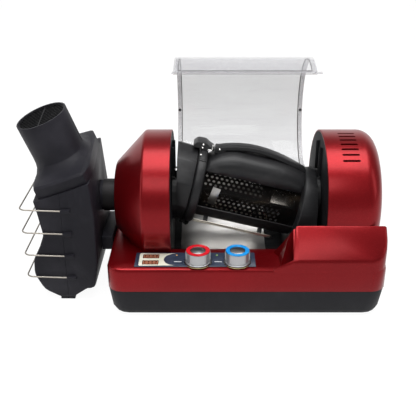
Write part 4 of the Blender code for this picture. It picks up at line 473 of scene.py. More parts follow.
@dataclass(frozen=True)
class ClearSheet(Finish):
    """A clear grey moulding, see-through by its alpha."""

    colour: Colour = (0.4, 0.4, 0.42)
    alpha: float = 0.21
    pale: Colour = (0.46, 0.46, 0.48)

    def lay(self, tree: SurfaceTree) -> None:
        """A faint flow pattern and hair scratches.

        Args:
            tree: The finish's shader tree.
        """
        flow = tree.noise(9.0, 3.0, tree.mapped((0.4, 1.0, 2.0)))
        scratches = tree.noise(900.0, 3.0, tree.mapped((0.04, 1.0, 1.0), (0.2, 0.0, 0.1))).between(0.62, 0.7)
        tree.dress(Base_Color=tree.blend(flow, self.colour, self.pale), Roughness=0.07 + scratches * 0.2,
                   Alpha=self.alpha + flow * 0.1 + scratches * 0.06,
                   Normal=tree.bump(flow + scratches * 0.02, 200 * MICRON))


@dataclass(frozen=True)
class PrintedFilm(Finish):
    """A printed overlay with a fine texture."""

    colour: Colour = (0.018, 0.026, 0.05)
    shade: Colour = (0.03, 0.04, 0.07)
    roughness: float = 0.36

    def lay(self, tree: SurfaceTree) -> None:
        """The screen print's fine dots over an even colour.

        Args:
            tree: The finish's shader tree.
        """
        dots = tree.cells(2600.0)
        cloud = tree.noise(60.0, 4.0)
        tree.dress(Base_Color=tree.blend(cloud.between(0.35, 0.7), self.colour, self.shade),
                   Roughness=self.roughness + cloud * 0.1, Normal=tree.bump(dots, 10 * MICRON))


@dataclass(frozen=True)
class CircuitBoard(Finish):
    """A green board with copper runs under the mask."""

    def lay(self, tree: SurfaceTree) -> None:
        """Runs and pads from cells and bricks.

        Args:
            tree: The finish's shader tree.
        """
        brick = tree.node("ShaderNodeTexBrick", {"offset": 0.3, "squash": 0.7, "squash_frequency": 3},
                          {"Vector": tree.place, "Scale": 110.0, "Mortar Size": 0.05, "Bias": 0.0,
                           "Brick Width": 0.9, "Row Height": 0.35})
        runs = Value(tree, brick.outputs["Fac"])
        pads = 1.0 - tree.cells(160.0).between(0.18, 0.24)
        body = tree.blend(runs, (0.012, 0.1, 0.035), (0.04, 0.24, 0.08))
        body = tree.blend(pads * 0.7, body, (0.55, 0.5, 0.38))
        tree.dress(Base_Color=body, Roughness=0.4 + runs * 0.1, Coat_Weight=0.3,
                   Normal=tree.bump(runs + pads, 40 * MICRON))


@dataclass(frozen=True)
class InsulatingCard(Finish):
    """Pale heat-resisting card with dark scorch marks."""

    def lay(self, tree: SurfaceTree) -> None:
        """Fibres and a scorched tint.

        Args:
            tree: The finish's shader tree.
        """
        fibres = tree.noise(500.0, 5.0, tree.mapped((1.0, 0.2, 1.0)))
        scorch = tree.noise(70.0, 4.0).between(0.5, 0.75)
        body = tree.blend(fibres * 0.5, (0.7, 0.66, 0.58), (0.82, 0.79, 0.72))
        tree.dress(Base_Color=tree.blend(scorch * 0.5, body, (0.35, 0.24, 0.14)), Roughness=0.85,
                   Normal=tree.bump(fibres, 80 * MICRON))


@dataclass(frozen=True)
class GlowingFigure(Finish):
    """A display segment that is lit faintly."""

    colour: Colour = (0.35, 0.16, 0.1)
    glow: Colour = (0.5, 0.16, 0.08)

    def lay(self, tree: SurfaceTree) -> None:
        """An even glow with a faint grain.

        Args:
            tree: The finish's shader tree.
        """
        grain = tree.noise(900.0, 2.0)
        tree.dress(Base_Color=tree.blend(grain, self.colour, self.glow), Roughness=0.4 + grain * 0.1,
                   Emission_Color=self.glow, Emission_Strength=0.15)


class Finishes:
    """Every finish of the roaster."""

    RED = MetallicPaint("red_metallic_paint", "red_paint")
    TRAY = MouldedPlastic("dark_grey_moulding", "dark_plastic", (0.014, 0.014, 0.0165), (0.024, 0.024, 0.028),
                          mottle=0.3)
    BLACK = MouldedPlastic("black_moulding", "black_plastic", (0.006, 0.006, 0.007), (0.018, 0.018, 0.02))
    COLLECTOR = MouldedPlastic("collector_moulding", "black_plastic", (0.011, 0.0105, 0.0145),
                               (0.03, 0.029, 0.036), roughness=0.46, grain_per_metre=1100.0,
                               grain_depth=90 * MICRON, mottle=0.55)
    # Dark seam lines on the lid, and a dark strip under its rail that is painted shade.
    SEAM_AND_SHADE = MouldedPlastic("dark_seam_and_painted_shade", "clear_plastic", (0.02, 0.015, 0.012), (0.04, 0.03, 0.026))
    COATING = SatinCoating("black_satin_coating", "black_coating")
    RUBBER = Rubber("black_rubber", "rubber")
    STEEL = BrushedMetal("brushed_steel", "steel")
    BAFFLE = BrushedMetal("scorched_steel", "steel", (0.022, 0.021, 0.022), (0.012, 0.01, 0.009),
                          roughness=0.4, stained=0.7)
    DUCT = BrushedMetal("heat_darkened_steel", "steel", (0.03, 0.029, 0.03), (0.015, 0.013, 0.012),
                        roughness=0.5)
    VANE = BrushedMetal("streaked_steel", "steel", (0.5, 0.47, 0.43), (0.08, 0.06, 0.045), roughness=0.16,
                        direction=Direction.ALONG_Z, stained=0.9)
    STRIP = BrushedMetal("warm_steel", "steel", (0.72, 0.68, 0.6), (0.5, 0.42, 0.32), roughness=0.2)
    WIRE = BrushedMetal("wire_steel", "steel", (0.4, 0.37, 0.33), (0.24, 0.2, 0.16))
    REFLECTOR = BrushedMetal("reflector_steel", "polished_steel", (0.5, 0.49, 0.475), (0.34, 0.32, 0.3),
                             stained=0.35)
    # A paler, rougher copy of the reflector's steel for the lip: a painted highlight where the reflector's
    # rear edge catches light.
    LIP_HIGHLIGHT = BrushedMetal("reflector_edge_painted_highlight", "polished_steel", (0.92, 0.91, 0.89), (0.7, 0.68, 0.64),
                       roughness=0.4)
    GOLD = BrushedMetal("thin_gold_edge", "brass", (0.72, 0.56, 0.28), (0.5, 0.36, 0.16), roughness=0.2)
    BRASS = BrushedMetal("turned_brass", "brass", (0.62, 0.42, 0.16), (0.38, 0.24, 0.1), roughness=0.3)
    CHROME = PolishedMetal("polished_chrome", "polished_steel")
    SATIN = PolishedMetal("satin_knob_metal", "polished_steel", (0.42, 0.42, 0.43), roughness=0.3)
    GLASS = DrumGlass("coffee_filmed_glass", "drum_glass")
    CLEAR = ClearSheet("clear_grey_moulding", "clear_plastic")
    FRAME = ClearSheet("clear_frame_moulding", "clear_plastic", (0.62, 0.61, 0.63), alpha=0.3)
    FILM = PrintedFilm("dark_blue_overlay", "panel_film")
    FIELD = PrintedFilm("cream_overlay", "display_glass", (0.62, 0.62, 0.5), (0.7, 0.69, 0.6), roughness=0.3)
    WINDOW = PrintedFilm("brown_window", "display_glass", (0.03, 0.014, 0.01), (0.05, 0.024, 0.016),
                         roughness=0.16)
    MARK = PrintedFilm("pale_print", "panel_film", (0.6, 0.62, 0.64), (0.5, 0.52, 0.54), roughness=0.4)
    LINE = PrintedFilm("grey_print", "panel_film", (0.12, 0.14, 0.17), (0.09, 0.1, 0.13), roughness=0.4)
    RED_RING = PrintedFilm("red_enamel", "red_trim", (0.5, 0.008, 0.016), (0.58, 0.015, 0.025),
                           roughness=0.22)
    BLUE_RING = PrintedFilm("blue_enamel", "blue_trim", (0.01, 0.22, 0.6), (0.015, 0.27, 0.66),
                            roughness=0.22)
    AMBER = GlowingFigure("amber_lamp", "panel_film", (0.6, 0.3, 0.08), (0.7, 0.35, 0.1))
    GREEN = GlowingFigure("green_lamp", "panel_film", (0.3, 0.5, 0.1), (0.35, 0.55, 0.12))
    FIGURE = GlowingFigure("lit_segment", "display_glass")
    BOARD = CircuitBoard("green_board", "circuit_board")
    CARD = InsulatingCard("heat_card", "insulating_card")


# Meshes


def shift(x: float, y: float, z: float) -> Matrix:
    """The matrix of a shift."""
    return Matrix.Translation((x, y, z))


def spin(angle: float, axis: str) -> Matrix:
    """The matrix of a turn about an axis."""
    return Matrix.Rotation(angle, 4, axis)


def in_mm(points: Sequence[Sequence[float]]) -> list[tuple[float, ...]]:
    """Points that are given in millimetres."""
    return [tuple(number * MM for number in point) for point in points]


def placed(data: Any, name: str = "draft") -> bpy.types.Object:
    """An object for a mesh, a light or a camera, in the scene.

    Args:
        data: The mesh, or the light's or the camera's data.
        name: The object's name.

    Returns:
        The object.
    """
    item = bpy.data.objects.new(name, data)
    bpy.context.scene.collection.objects.link(item)
    return item


def moved(mesh: Mesh, matrix: Matrix) -> Mesh:
    """Put a mesh in its place."""
    mesh.transform(matrix)
    return mesh


def smoothed(mesh: Mesh, sharp: float = SHARP) -> Mesh:
    """Make a mesh smooth, but for its edges from this angle on.

    Args:
        mesh: The mesh, which is changed.
        sharp: The angle from which on an edge stays sharp.

    Returns:
        The same mesh.
    """
    mesh.shade_smooth()
    mesh.set_sharp_from_angle(angle=sharp)
    return mesh


def freed(shape: bmesh.types.BMesh) -> Mesh:
    """A mesh from a bmesh, which is freed.

    Args:
        shape: The bmesh, which can't be used afterwards.

    Returns:
        The mesh.
    """
    made = bpy.data.meshes.new("part")
    shape.to_mesh(made)
    shape.free()
    return made


def mesh_of(shape: bmesh.types.BMesh) -> Mesh:
    """A smooth mesh with outward faces from a bmesh, which is freed.

    Args:
        shape: The bmesh, which can't be used afterwards.

    Returns:
        The mesh.
    """
    bmesh.ops.remove_doubles(shape, verts=shape.verts, dist=10 * WELD)
    bmesh.ops.recalc_face_normals(shape, faces=shape.faces)
    return smoothed(freed(shape))


def plain_mesh(item: bpy.types.Object) -> Mesh:
    """The object's mesh with its modifiers applied; the object is removed.

    Args:
        item: The object.

    Returns:
        The mesh.
    """
    bpy.context.view_layer.update()
    graph = bpy.context.evaluated_depsgraph_get()
    solved = item.evaluated_get(graph)
    made = bpy.data.meshes.new_from_object(solved, preserve_all_data_layers=True, depsgraph=graph)
    bpy.data.objects.remove(item)
    return made


def bridge(shape: bmesh.types.BMesh, near: Sequence[Any], far: Sequence[Any]) -> None:
    """Join two rings of as many corners with a band of faces.

    Args:
        shape: The bmesh that gets the faces.
        near: The corners of one ring.
        far: The corners of the other ring, in the same order.
    """
    for index in range(len(near)):
        after = (index + 1) % len(near)
        shape.faces.new((near[index], near[after], far[after], far[index]))


def turned(profile: Sequence[Flat], steps: int, axis: str = "X", centre: Point = (0, 0, 0)) -> Mesh:
    """Turn a closed outline about an axis.

    Args:
        profile: Pairs of radius and place along the axis.
        steps: How many steps go round.
        axis: "X" or "Z".
        centre: A point on the axis.

    Returns:
        The closed mesh.
    """
    shape = bmesh.new()
    rings = []
    for step in range(steps):
        angle = 2 * math.pi * step / steps
        c, s = math.cos(angle), math.sin(angle)
        ring = [(v, r * c, r * s) if axis == "X" else (r * c, r * s, v) for r, v in profile]
        rings.append([shape.verts.new(Vector(corner) + Vector(centre)) for corner in ring])
    for near, far in zip(rings, rings[1:] + rings[:1]):
        bridge(shape, near, far)
    bmesh.ops.remove_doubles(shape, verts=shape.verts, dist=WELD)
    bmesh.ops.dissolve_degenerate(shape, edges=shape.edges, dist=WELD)
    return mesh_of(shape)


def rounded(corners: Sequence[tuple[float, float, float]], steps: int = 5) -> list[Flat]:
    """Round an outline's corners.

    Args:
        corners: Triples of two coordinates and the corner's radius.
        steps: How many steps round each corner.

    Returns:
        The outline's points.
    """
    points = []
    for index, (x, y, radius) in enumerate(corners):
        if radius <= 0:
            points.append((x, y))
            continue
        here = Vector((x, y))
        before = Vector(corners[index - 1][:2]) - here
        after = Vector(corners[(index + 1) % len(corners)][:2]) - here
        half = before.angle(after) / 2
        reach = min(radius / math.tan(half), before.length * 0.49, after.length * 0.49)
        out = (before.normalized() + after.normalized()).normalized()
        middle = here + out * (reach * math.tan(half) / math.sin(half))
        start = here + before.normalized() * reach - middle
        end = here + after.normalized() * reach - middle
        turn = start.angle_signed(end)
        for step in range(steps + 1):
            spot = start.copy()
            spot.rotate(Matrix.Rotation(-turn * step / steps, 2))
            points.append(tuple(middle + spot))
    return points


def rectangle(left: float, low: float, right: float, high: float, radius: float = 0.0,
              steps: int = 5) -> list[Flat]:
    """The outline of a rectangle, with round corners if a radius is given."""
    corners = ((left, low), (right, low), (right, high), (left, high))
    return rounded([(x, y, radius) for x, y in corners], steps)


def sheet(outline: Sequence[Flat], low: float, high: float, plane: str = "XY") -> Mesh:
    """Give a flat outline a thickness.

    Args:
        outline: The outline's points.
        low: Where the sheet starts along the third axis.
        high: Where it ends.
        plane: "XY", "XZ" or "YZ", the plane of the outline.

    Returns:
        The closed mesh.
    """
    order = {"XY": (0, 1, 2), "XZ": (0, 2, 1), "YZ": (2, 0, 1)}[plane]
    shape = bmesh.new()
    rings = [[shape.verts.new(tuple((*flat, end)[place] for place in order)) for flat in outline]
             for end in (low, high)]
    bridge(shape, *rings)
    for ring in rings:
        shape.faces.new(ring)
    return mesh_of(shape)


def bow(inner: float, outer: float, start: float, end: float, steps: int) -> list[Flat]:
    """The outline of a bent strip: an arc out and an arc back.

    Args:
        inner: The inner arc's radius.
        outer: The outer arc's radius.
        start: The angle where both arcs start.
        end: The angle where they end.
        steps: How many steps each arc has.

    Returns:
        The outline's points.
    """
    angles = [start + (end - start) * step / steps for step in range(steps + 1)]
    arcs = [(outer, a) for a in angles] + [(inner, a) for a in reversed(angles)]
    return [(radius * math.cos(a), radius * math.sin(a)) for radius, a in arcs]


def softened(mesh: Mesh, width: float, segments: int = 2, angle: float = 30 * DEGREE) -> Mesh:
    """Round a mesh's edges that are sharper than this angle by this width.

    Args:
        mesh: The mesh.
        width: The width of the rounding.
        segments: How many faces go across it.
        angle: The angle from which on an edge is rounded.

    Returns:
        The rounded mesh.
    """
    item = placed(mesh)
    step = item.modifiers.new("Rounded edges", "BEVEL")
    step.width = width
    step.segments = segments
    step.limit_method = "ANGLE"
    step.angle_limit = angle
    return smoothed(plain_mesh(item), 40 * DEGREE)


def bored(mesh: Mesh, *cutters: Mesh) -> Mesh:
    """Take the cutters' meshes away from a mesh.

    Args:
        mesh: The mesh that is cut.
        cutters: The meshes that are taken away.

    Returns:
        The mesh that is left.
    """
    item = placed(mesh)
    others = [placed(cutter, "cutter") for cutter in cutters]
    for other in others:
        step = item.modifiers.new("Cut", "BOOLEAN")
        step.operation = "DIFFERENCE"
        step.solver = "EXACT"
        step.object = other
    made = plain_mesh(item)
    for other in others:
        bpy.data.objects.remove(other)
    return smoothed(made)


def joined(meshes: Sequence[Mesh]) -> Mesh:
    """Put several meshes into one.

    Args:
        meshes: The meshes.

    Returns:
        One mesh with all their faces.
    """
    shape = bmesh.new()
    for mesh in meshes:
        shape.from_mesh(mesh)
    return smoothed(freed(shape))


def domed_head(radius: float, rise: float) -> Mesh:
    """A low domed rivet head that faces along Z and is sunk a little below it.

    Args:
        radius: The head's radius.
        rise: How far its middle stands out.

    Returns:
        The head's mesh.
    """
    angles = [QUARTER_TURN * step / 5 for step in range(6)]
    dome = [(radius * math.cos(angle), rise * math.sin(angle)) for angle in angles]
    return turned([(0.0, -rise * 0.5), (radius, -rise * 0.5), *dome], 16, axis="Z")


def cross_screw(radius: float, height: float) -> Mesh:
    """A pan-head screw with a cross recess that faces along Z.

    Args:
        radius: The head's radius.
        height: How far the head reaches above its place, and below it.

    Returns:
        The screw's mesh.
    """
    profile = [(0.0, -height), (radius, -height), (radius, height * 0.45), (radius * 0.8, height * 0.85),
               (0.0, height)]
    arm, width = radius * 0.55, radius * 0.12
    bars = [moved(sheet(rectangle(-arm, -width, arm, width), height * 0.35, height * 2), spin(turn, "Z"))
            for turn in (0, QUARTER_TURN)]
    return bored(turned(profile, 20, axis="Z"), *bars)


# Patterns of Geometry Nodes


class Generator(NodeTree):
    """A Geometry Nodes tree with named inputs, whose result is a plain mesh in one finish."""

    title = "Generator"
    sizes: dict[str, str] = {}

    def __init__(self) -> None:
        """Build the tree: its inputs, its own geometry made real, and the material."""
        super().__init__(bpy.data.node_groups.new(self.title, "GeometryNodeTree"))
        face = self.tree.interface
        face.new_socket("Geometry", in_out="OUTPUT", socket_type="NodeSocketGeometry")
        self.identifiers: dict[str, str] = {}
        for name, kind in {**self.sizes, "Material": "Material"}.items():
            socket = face.new_socket(name, in_out="INPUT", socket_type="NodeSocket" + kind)
            self.identifiers[name] = socket.identifier
        self.given = self.node("NodeGroupInput").outputs
        solid = self.node("GeometryNodeRealizeInstances", None, {0: self.geometry()})
        coated = self.node("GeometryNodeSetMaterial", None,
                           {"Geometry": solid.outputs[0], "Material": self.given["Material"]})
        self.node("NodeGroupOutput", None, {0: coated.outputs[0]})

    def geometry(self) -> Socket:
        """The tree's own geometry."""
        raise NotImplementedError

    def size(self, name: str) -> Value:
        """A named input as a value."""
        return Value(self, self.given[name])

    def applied(self, start: Mesh, finish: Finish, **values: Any) -> Mesh:
        """Run the tree on a mesh.

        Args:
            start: The mesh that it starts from.
            finish: The finish of the result.
            values: The tree's inputs, with underscores for spaces.

        Returns:
            The plain mesh.
        """
        item = placed(start)
        step = item.modifiers.new(self.title, "NODES")
        step.node_group = self.tree
        for name, value in {**values, "Material": finish.material()}.items():
            step[self.identifiers[name.replace("_", " ")]] = value
        item.update_tag()
        return plain_mesh(item)


class Pattern(Generator):
    """A tree that repeats one unit."""

    spacing: tuple[str, ...] = ()

    def __init__(self) -> None:
        """Put the pattern's own numbers after the unit and the count."""
        self.sizes = {"Unit": "Object", "Count": "Int", **{name: "Float" for name in self.spacing}}
        super().__init__()

    def geometry(self) -> Socket:
        """The unit at every place of the layout.

        Returns:
            The socket of the finished geometry.
        """
        place, turn, stretch = self.layout(Value(self, self.node("GeometryNodeInputIndex").outputs[0]))
        points = self.node("GeometryNodePoints", None, {"Count": self.given["Count"], "Position": place})
        unit = self.node("GeometryNodeObjectInfo", {"transform_space": "ORIGINAL"},
                         {"Object": self.given["Unit"], "As Instance": True})
        rotation = self.node("FunctionNodeEulerToRotation", None, {0: turn})
        return self.node("GeometryNodeInstanceOnPoints", None, {
            "Points": points.outputs[0], "Instance": unit.outputs["Geometry"],
            "Rotation": rotation.outputs[0], "Scale": stretch}).outputs[0]

    def layout(self, number: Value) -> tuple[Any, Any, Any]:
        """The place, the turn and the stretch of the unit with this number."""
        raise NotImplementedError

    def run(self, unit: Mesh, count: int, finish: Finish, **spacing: float) -> Mesh:
        """Repeat a unit.

        Args:
            unit: The unit's mesh.
            count: How many units there are.
            finish: The finish of all of them.
            spacing: The pattern's own numbers, with underscores for spaces.

        Returns:
            The plain mesh.
        """
        model = placed(unit, "unit")
        made = self.applied(bpy.data.meshes.new("pattern"), finish, Unit=model, Count=count, **spacing)
        bpy.data.objects.remove(model)
        return made


class AroundAxis(Pattern):
    """Units set round the X axis at even angles."""

    title = "Around axis"
    spacing = ("Radius", "First Angle", "Step Angle")

    def layout(self, number: Value) -> tuple[Any, Any, Any]:
        """Each unit's Z axis points away from the X axis.

        Args:
            number: The unit's number, from zero on.

        Returns:
            Its place, its turn and its stretch.
        """
        angle = self.size("First Angle") + number * self.size("Step Angle")
        radius = self.size("Radius")
        place = self.vector(0.0, radius * angle.cosine(), radius * angle.sine())
        return place, self.vector(angle - QUARTER_TURN, 0.0, 0.0), (1, 1, 1)


class AlongRow(Pattern):
    """Units in a straight row along X."""

    title = "Along row"
    spacing = ("Step",)

    def layout(self, number: Value) -> tuple[Any, Any, Any]:
        """The unit's own place, moved by whole steps."""
        return self.vector(number * self.size("Step"), 0.0, 0.0), (0, 0, 0), (1, 1, 1)


class AcrossRound(Pattern):
    """Bars side by side across a round opening, each as long as its chord."""

    title = "Across round"
    spacing = ("Radius", "Pitch")

    def layout(self, number: Value) -> tuple[Any, Any, Any]:
        """A bar of unit length along X, stretched to the chord at its place.

        Args:
            number: The unit's number, from zero on.

        Returns:
            Its place, its turn and its stretch.
        """
        across = (number - (self.size("Count") - 1.0) * 0.5) * self.size("Pitch")
        radius = self.size("Radius")
        half = (radius * radius - across * across).root()
        return self.vector(0.0, across, 0.0), (0, 0, 0), self.vector(half * 2.0, 1.0, 1.0)


class StaggeredRows(Pattern):
    """Units in rows, every second row moved by half a pitch."""

    title = "Staggered rows"
    spacing = ("Columns", "Pitch", "Row Pitch")

    def layout(self, number: Value) -> tuple[Any, Any, Any]:
        """Columns along X and rows along Y.

        Args:
            number: The unit's number, from zero on.

        Returns:
            Its place, its turn and its stretch.
        """
        columns = self.size("Columns")
        row = (number / columns).floor()
        column = number - row * columns
        odd = row - (row / 2.0).floor() * 2.0
        along = (column + odd * 0.5) * self.size("Pitch")
        return self.vector(along, row * self.size("Row Pitch"), 0.0), (0, 0, 0), (1, 1, 1)


class TubeAlongPath(Generator):
    """A tree that draws a round wire along a path's edges."""

    title = "Tube along path"
    sizes = {"Geometry": "Geometry", "Radius": "Float", "Sides": "Int"}

    def geometry(self) -> Socket:
        """The path as a curve with a round section.

        Returns:
            The socket of the finished geometry.
        """
        line = self.node("GeometryNodeMeshToCurve", None, {0: self.given["Geometry"]})
        section = self.node("GeometryNodeCurvePrimitiveCircle", None,
                            {"Resolution": self.given["Sides"], "Radius": self.given["Radius"]})
        return self.node("GeometryNodeCurveToMesh", None, {
            "Curve": line.outputs[0], "Profile Curve": section.outputs[0], "Fill Caps": True}).outputs[0]

    def run(self, points: Sequence[Sequence[float]], radius: float, finish: Finish, sides: int = 14) -> Mesh:
        """Draw the wire through these points.

        Args:
            points: The path's points.
            radius: The wire's radius.
            finish: Its finish.
            sides: How many sides its section has.

        Returns:
            The plain mesh.
        """
        path = bpy.data.meshes.new("path")
        path.from_pydata([tuple(p) for p in points], [(i, i + 1) for i in range(len(points) - 1)], [])
        return smoothed(self.applied(path, finish, Radius=radius, Sides=sides), 50 * DEGREE)


# Sub-assemblies


@dataclass
class SubAssembly:
    """A group of pieces that are built and dressed together."""

    shown: list[str] = field(default_factory=list)

    def build(self) -> None:
        """Build and dress every piece of the group."""
        raise NotImplementedError

    def show(self, name: str, mesh: Mesh, body: str, finish: Finish, *nodes: str) -> None:
        """Put a finished piece in the scene.

        Args:
            name: The piece's name.
            mesh: Its mesh, in place.
            body: The CAD body it rides on.
            finish: Its finish.
            nodes: The CAD nodes it stands for.
        """
        if not mesh.materials:
            mesh.materials.append(finish.material())
        mesh.name = name
        item = placed(mesh, name)
        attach(item, body)
        if nodes:
            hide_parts(*nodes)
        self.shown.append(name)
        LOG.info("piece %s on %s: %d faces", name, body, len(mesh.polygons))

    def skin(self, node: str, finish: Finish, edge: float = 0.0, angle: float = SHARP,
             shape_by: Callable[[Vector], Vector] | None = None) -> None:
        """Show a CAD node as a merged copy of its mesh with softened edges.

        Args:
            node: The CAD node.
            finish: Its finish.
            edge: The width of the softened edges.
            angle: The angle from which an edge stays sharp.
            shape_by: Where a point of the solid goes in the fuller finished form, if it has one.
        """
        shape = bmesh.new()
        shape.from_mesh(frame["nodes"][node].data)
        bmesh.ops.remove_doubles(shape, verts=shape.verts, dist=20 * WELD)
        bmesh.ops.dissolve_degenerate(shape, edges=shape.edges, dist=20 * WELD)
        bmesh.ops.dissolve_limit(shape, angle_limit=0.5 * DEGREE, verts=shape.verts, edges=shape.edges)
        if shape_by is not None:
            for corner in shape.verts:
                corner.co = shape_by(corner.co)
        mesh = smoothed(freed(shape), angle)
        mesh.materials.clear()
        if edge:
            mesh = softened(mesh, edge, 2, angle)
        self.show(node + "_dressed", mesh, frame["nodes"][node]["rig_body"], finish, node)

    @staticmethod
    def paint(finish: Finish, *nodes: str) -> None:
        """Give inner CAD nodes a finish and leave their meshes alone.

        Args:
            finish: The finish.
            nodes: The nodes' names.
        """
        for node in nodes:
            data = frame["nodes"][node].data
            data.materials.clear()
            data.materials.append(finish.material())


@dataclass
class Base(SubAssembly):
    """The tray, its feet and inlet, the red casing and what they enclose."""

    casing_edge: float = 2.2 * MM
    blade_width: float = 1.1 * MM
    blade_height: float = 3.1 * MM
    blade_length: float = 6 * MM
    blade_place: Point = (143 * MM, 105.9 * MM, 23 * MM)
    pin_pitch: float = 7 * MM
    screw_radius: float = 3 * MM
    screw_height: float = 0.8 * MM
    screw_pitch: float = 140 * MM
    screw_rows: Flat = (-70 * MM, 70 * MM)
    underside_z: float = 2.5 * MM

    def build(self) -> None:
        """Skins for the shells, inlet blades and the screws under the tray."""
        self.skin("base_tray", Finishes.TRAY, 0.6 * MM)
        self.skin("upper_casing", Finishes.RED, self.casing_edge, 30 * DEGREE)
        self.skin("power_inlet", Finishes.BLACK, 0.3 * MM)
        for place in ("front_left", "front_right", "rear_left", "rear_right"):
            self.skin("foot_" + place, Finishes.RUBBER, 0.5 * MM)
        self.build_inlet_blades()
        self.build_underside_screws()
        self.skin("exhaust_duct", Finishes.DUCT)
        for finish, nodes in (
            (Finishes.BOARD, ("control_board", "power_board")),
            (Finishes.STEEL, ("drive_motor", "hot_air_duct", "blower_motor", "lid_pin_left",
                              "lid_pin_right", "drive_gear")),
            (Finishes.CARD, ("heater_element",)),
            (Finishes.BRASS, ("idle_bearing", "drive_bearing", "motor_pinion", "temperature_spindle",
                              "time_spindle")),
            (Finishes.COATING, ("drive_carrier", "idle_carrier")),
            (Finishes.BLACK, ("blower_fan", "rear_cover", "bay_liner")),
        ):
            self.paint(finish, *nodes)

    def build_inlet_blades(self) -> None:
        """Three bright blades in the mains inlet."""
        outline = rectangle(-self.blade_width, -self.blade_height, self.blade_width, self.blade_height)
        blade = softened(sheet(outline, -self.blade_length, self.blade_length, "XZ"), 0.3 * MM)
        blades = AlongRow().run(blade, 3, Finishes.STEEL, Step=self.pin_pitch)
        self.show("inlet_blades", moved(blades, shift(*self.blade_place)), "base", Finishes.STEEL)

    def build_underside_screws(self) -> None:
        """Six screws that hold the tray to the casing, seen from below."""
        screw = moved(cross_screw(self.screw_radius, self.screw_height), spin(math.pi, "X"))
        rows = [moved(AlongRow().run(screw.copy(), 3, Finishes.STEEL, Step=self.screw_pitch),
                      shift(-self.screw_pitch, y, self.underside_z)) for y in self.screw_rows]
        self.show("tray_screws", joined(rows), "base", Finishes.STEEL)


@dataclass
class Housings(SubAssembly):
    """The two red housings and the black plates that close them towards the bay."""

    band_radius: float = 96.4 * MM
    wall: float = 2.4 * MM
    left_rim_x: float = -105.4 * MM
    left_band_end_x: float = -144 * MM
    left_end_x: float = -187 * MM
    left_end_radius: float = 50 * MM
    left_hole: float = 24.3 * MM
    right_rim_x: float = 109.2 * MM
    right_end_x: float = 187 * MM
    right_shoulder: float = 24 * MM
    steps: int = 144
    slot_count: int = 7
    slot_x: float = 143 * MM
    slot_length: float = 24 * MM
    slot_width: float = 3.2 * MM
    first_slot: float = 91.4 * DEGREE
    slot_step: float = 6 * DEGREE
    rib_height: float = 4.4 * MM
    rib_near: float = 13.5 * MM
    rib_far: float = 16.5 * MM
    rib_low: float = 36.5 * MM
    rib_high: float = 80 * MM

    def build(self) -> None:
        """Finely turned housings, cut off at the deck, the slots, and the plates with their guide ribs."""
        self.build_left()
        self.build_right()
        for side in ("left", "right"):
            self.skin(side + "_inner_plate", Finishes.BLACK, 0.4 * MM)
        self.build_ribs("left", self.left_rim_x, 1)
        self.build_ribs("right", self.right_rim_x, -1)

    def show_shell(self, side: str, outline: Sequence[Flat], *cutters: Mesh) -> None:
        """Show a housing, turned from its outline and cut off at the deck and by the cutters.

        Args:
            side: "left" or "right".
            outline: Pairs of place along the axis and radius.
            cutters: Meshes that are taken away as well.
        """
        deck = min(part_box("left_housing")[0].z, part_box("right_housing")[0].z)
        reach = 300 * MM
        floor = sheet(rectangle(-reach, -reach, reach, reach), -reach, deck)
        blank = turned([(radius, x) for x, radius in outline], self.steps, centre=AXIS)
        node = side + "_housing"
        self.show(node + "_dressed", bored(blank, floor, *cutters), "base", Finishes.RED, node)

    def build_left(self) -> None:
        """The band that narrows to the exhaust's end."""
        wall, band, rim, end = self.wall, self.band_radius, self.left_rim_x, self.left_end_x
        band_end, small = self.left_band_end_x, self.left_end_radius
        self.show_shell("left", rounded([
            (rim, band, 1.2 * MM), (band_end, band, 7 * MM), (end, small, 8 * MM),
            (end, self.left_hole, 0.5 * MM), (end + wall, self.left_hole, 0),
            (end + wall, small - wall / 2, 4 * MM),
            (band_end + wall / 2, band - wall, 4 * MM), (rim, band - wall, 0.6 * MM)]))

    def build_right(self) -> None:
        """The drum with its rounded shoulder and the vent slots."""
        wall, band, rim, end = self.wall, self.band_radius, self.right_rim_x, self.right_end_x
        outline = rounded([
            (end, 0, 0), (end, band, self.right_shoulder), (rim, band, 1.2 * MM),
            (rim, band - wall, 0.6 * MM), (end - wall, band - wall, self.right_shoulder - wall),
            (end - wall, 0, 0)], 8)
        half, wide = self.slot_length / 2, self.slot_width / 2
        slot = sheet(rectangle(-half, -wide, half, wide, wide, 6), -8 * MM, 8 * MM)
        slots = AroundAxis().run(slot, self.slot_count, Finishes.RED, Radius=band,
                                 First_Angle=self.first_slot, Step_Angle=self.slot_step)
        self.show_shell("right", outline, moved(slots, shift(self.slot_x, *AXIS[1:])))

    def build_ribs(self, side: str, rim: float, inward: int) -> None:
        """Two upright guide ribs on a plate, above the carrier.

        Args:
            side: "left" or "right".
            rim: Where the plate's outer face is along X.
            inward: 1 where the bay lies to the plate's right, -1 where it lies to its left.
        """
        _, y, z = AXIS
        low, high = sorted((rim - inward * 0.5 * MM, rim + inward * self.rib_height))
        outline = rectangle(low, z + self.rib_low, high, z + self.rib_high)
        ribs = [sheet(outline, y - self.rib_far, y - self.rib_near, "XZ"),
                sheet(outline, y + self.rib_near, y + self.rib_far, "XZ")]
        self.show(side + "_guide_ribs", softened(joined(ribs), 0.5 * MM), "base", Finishes.BLACK)


@dataclass
class Bay(SubAssembly):
    """The bay's reflector, with its upper lip in pale steel as a painted highlight."""

    lip_radii: Flat = (88.3 * MM, 89.1 * MM)
    lip_angles: Flat = (-13.8 * DEGREE, -3 * DEGREE)
    lip_ends: Flat = (-95 * MM, 35 * MM)

    def build(self) -> None:
        """The lip in pale steel as a painted highlight, and the reflector's skin."""
        # The lip's pale steel is a painted highlight on the reflector's rear edge.
        lip = softened(sheet(bow(*self.lip_radii, *self.lip_angles, 10), *self.lip_ends, "YZ"), 0.2 * MM)
        self.show("reflector_lip", moved(lip, shift(*AXIS)), "base", Finishes.LIP_HIGHLIGHT)
        self.skin("reflector_tray", Finishes.REFLECTOR, 0.2 * MM)


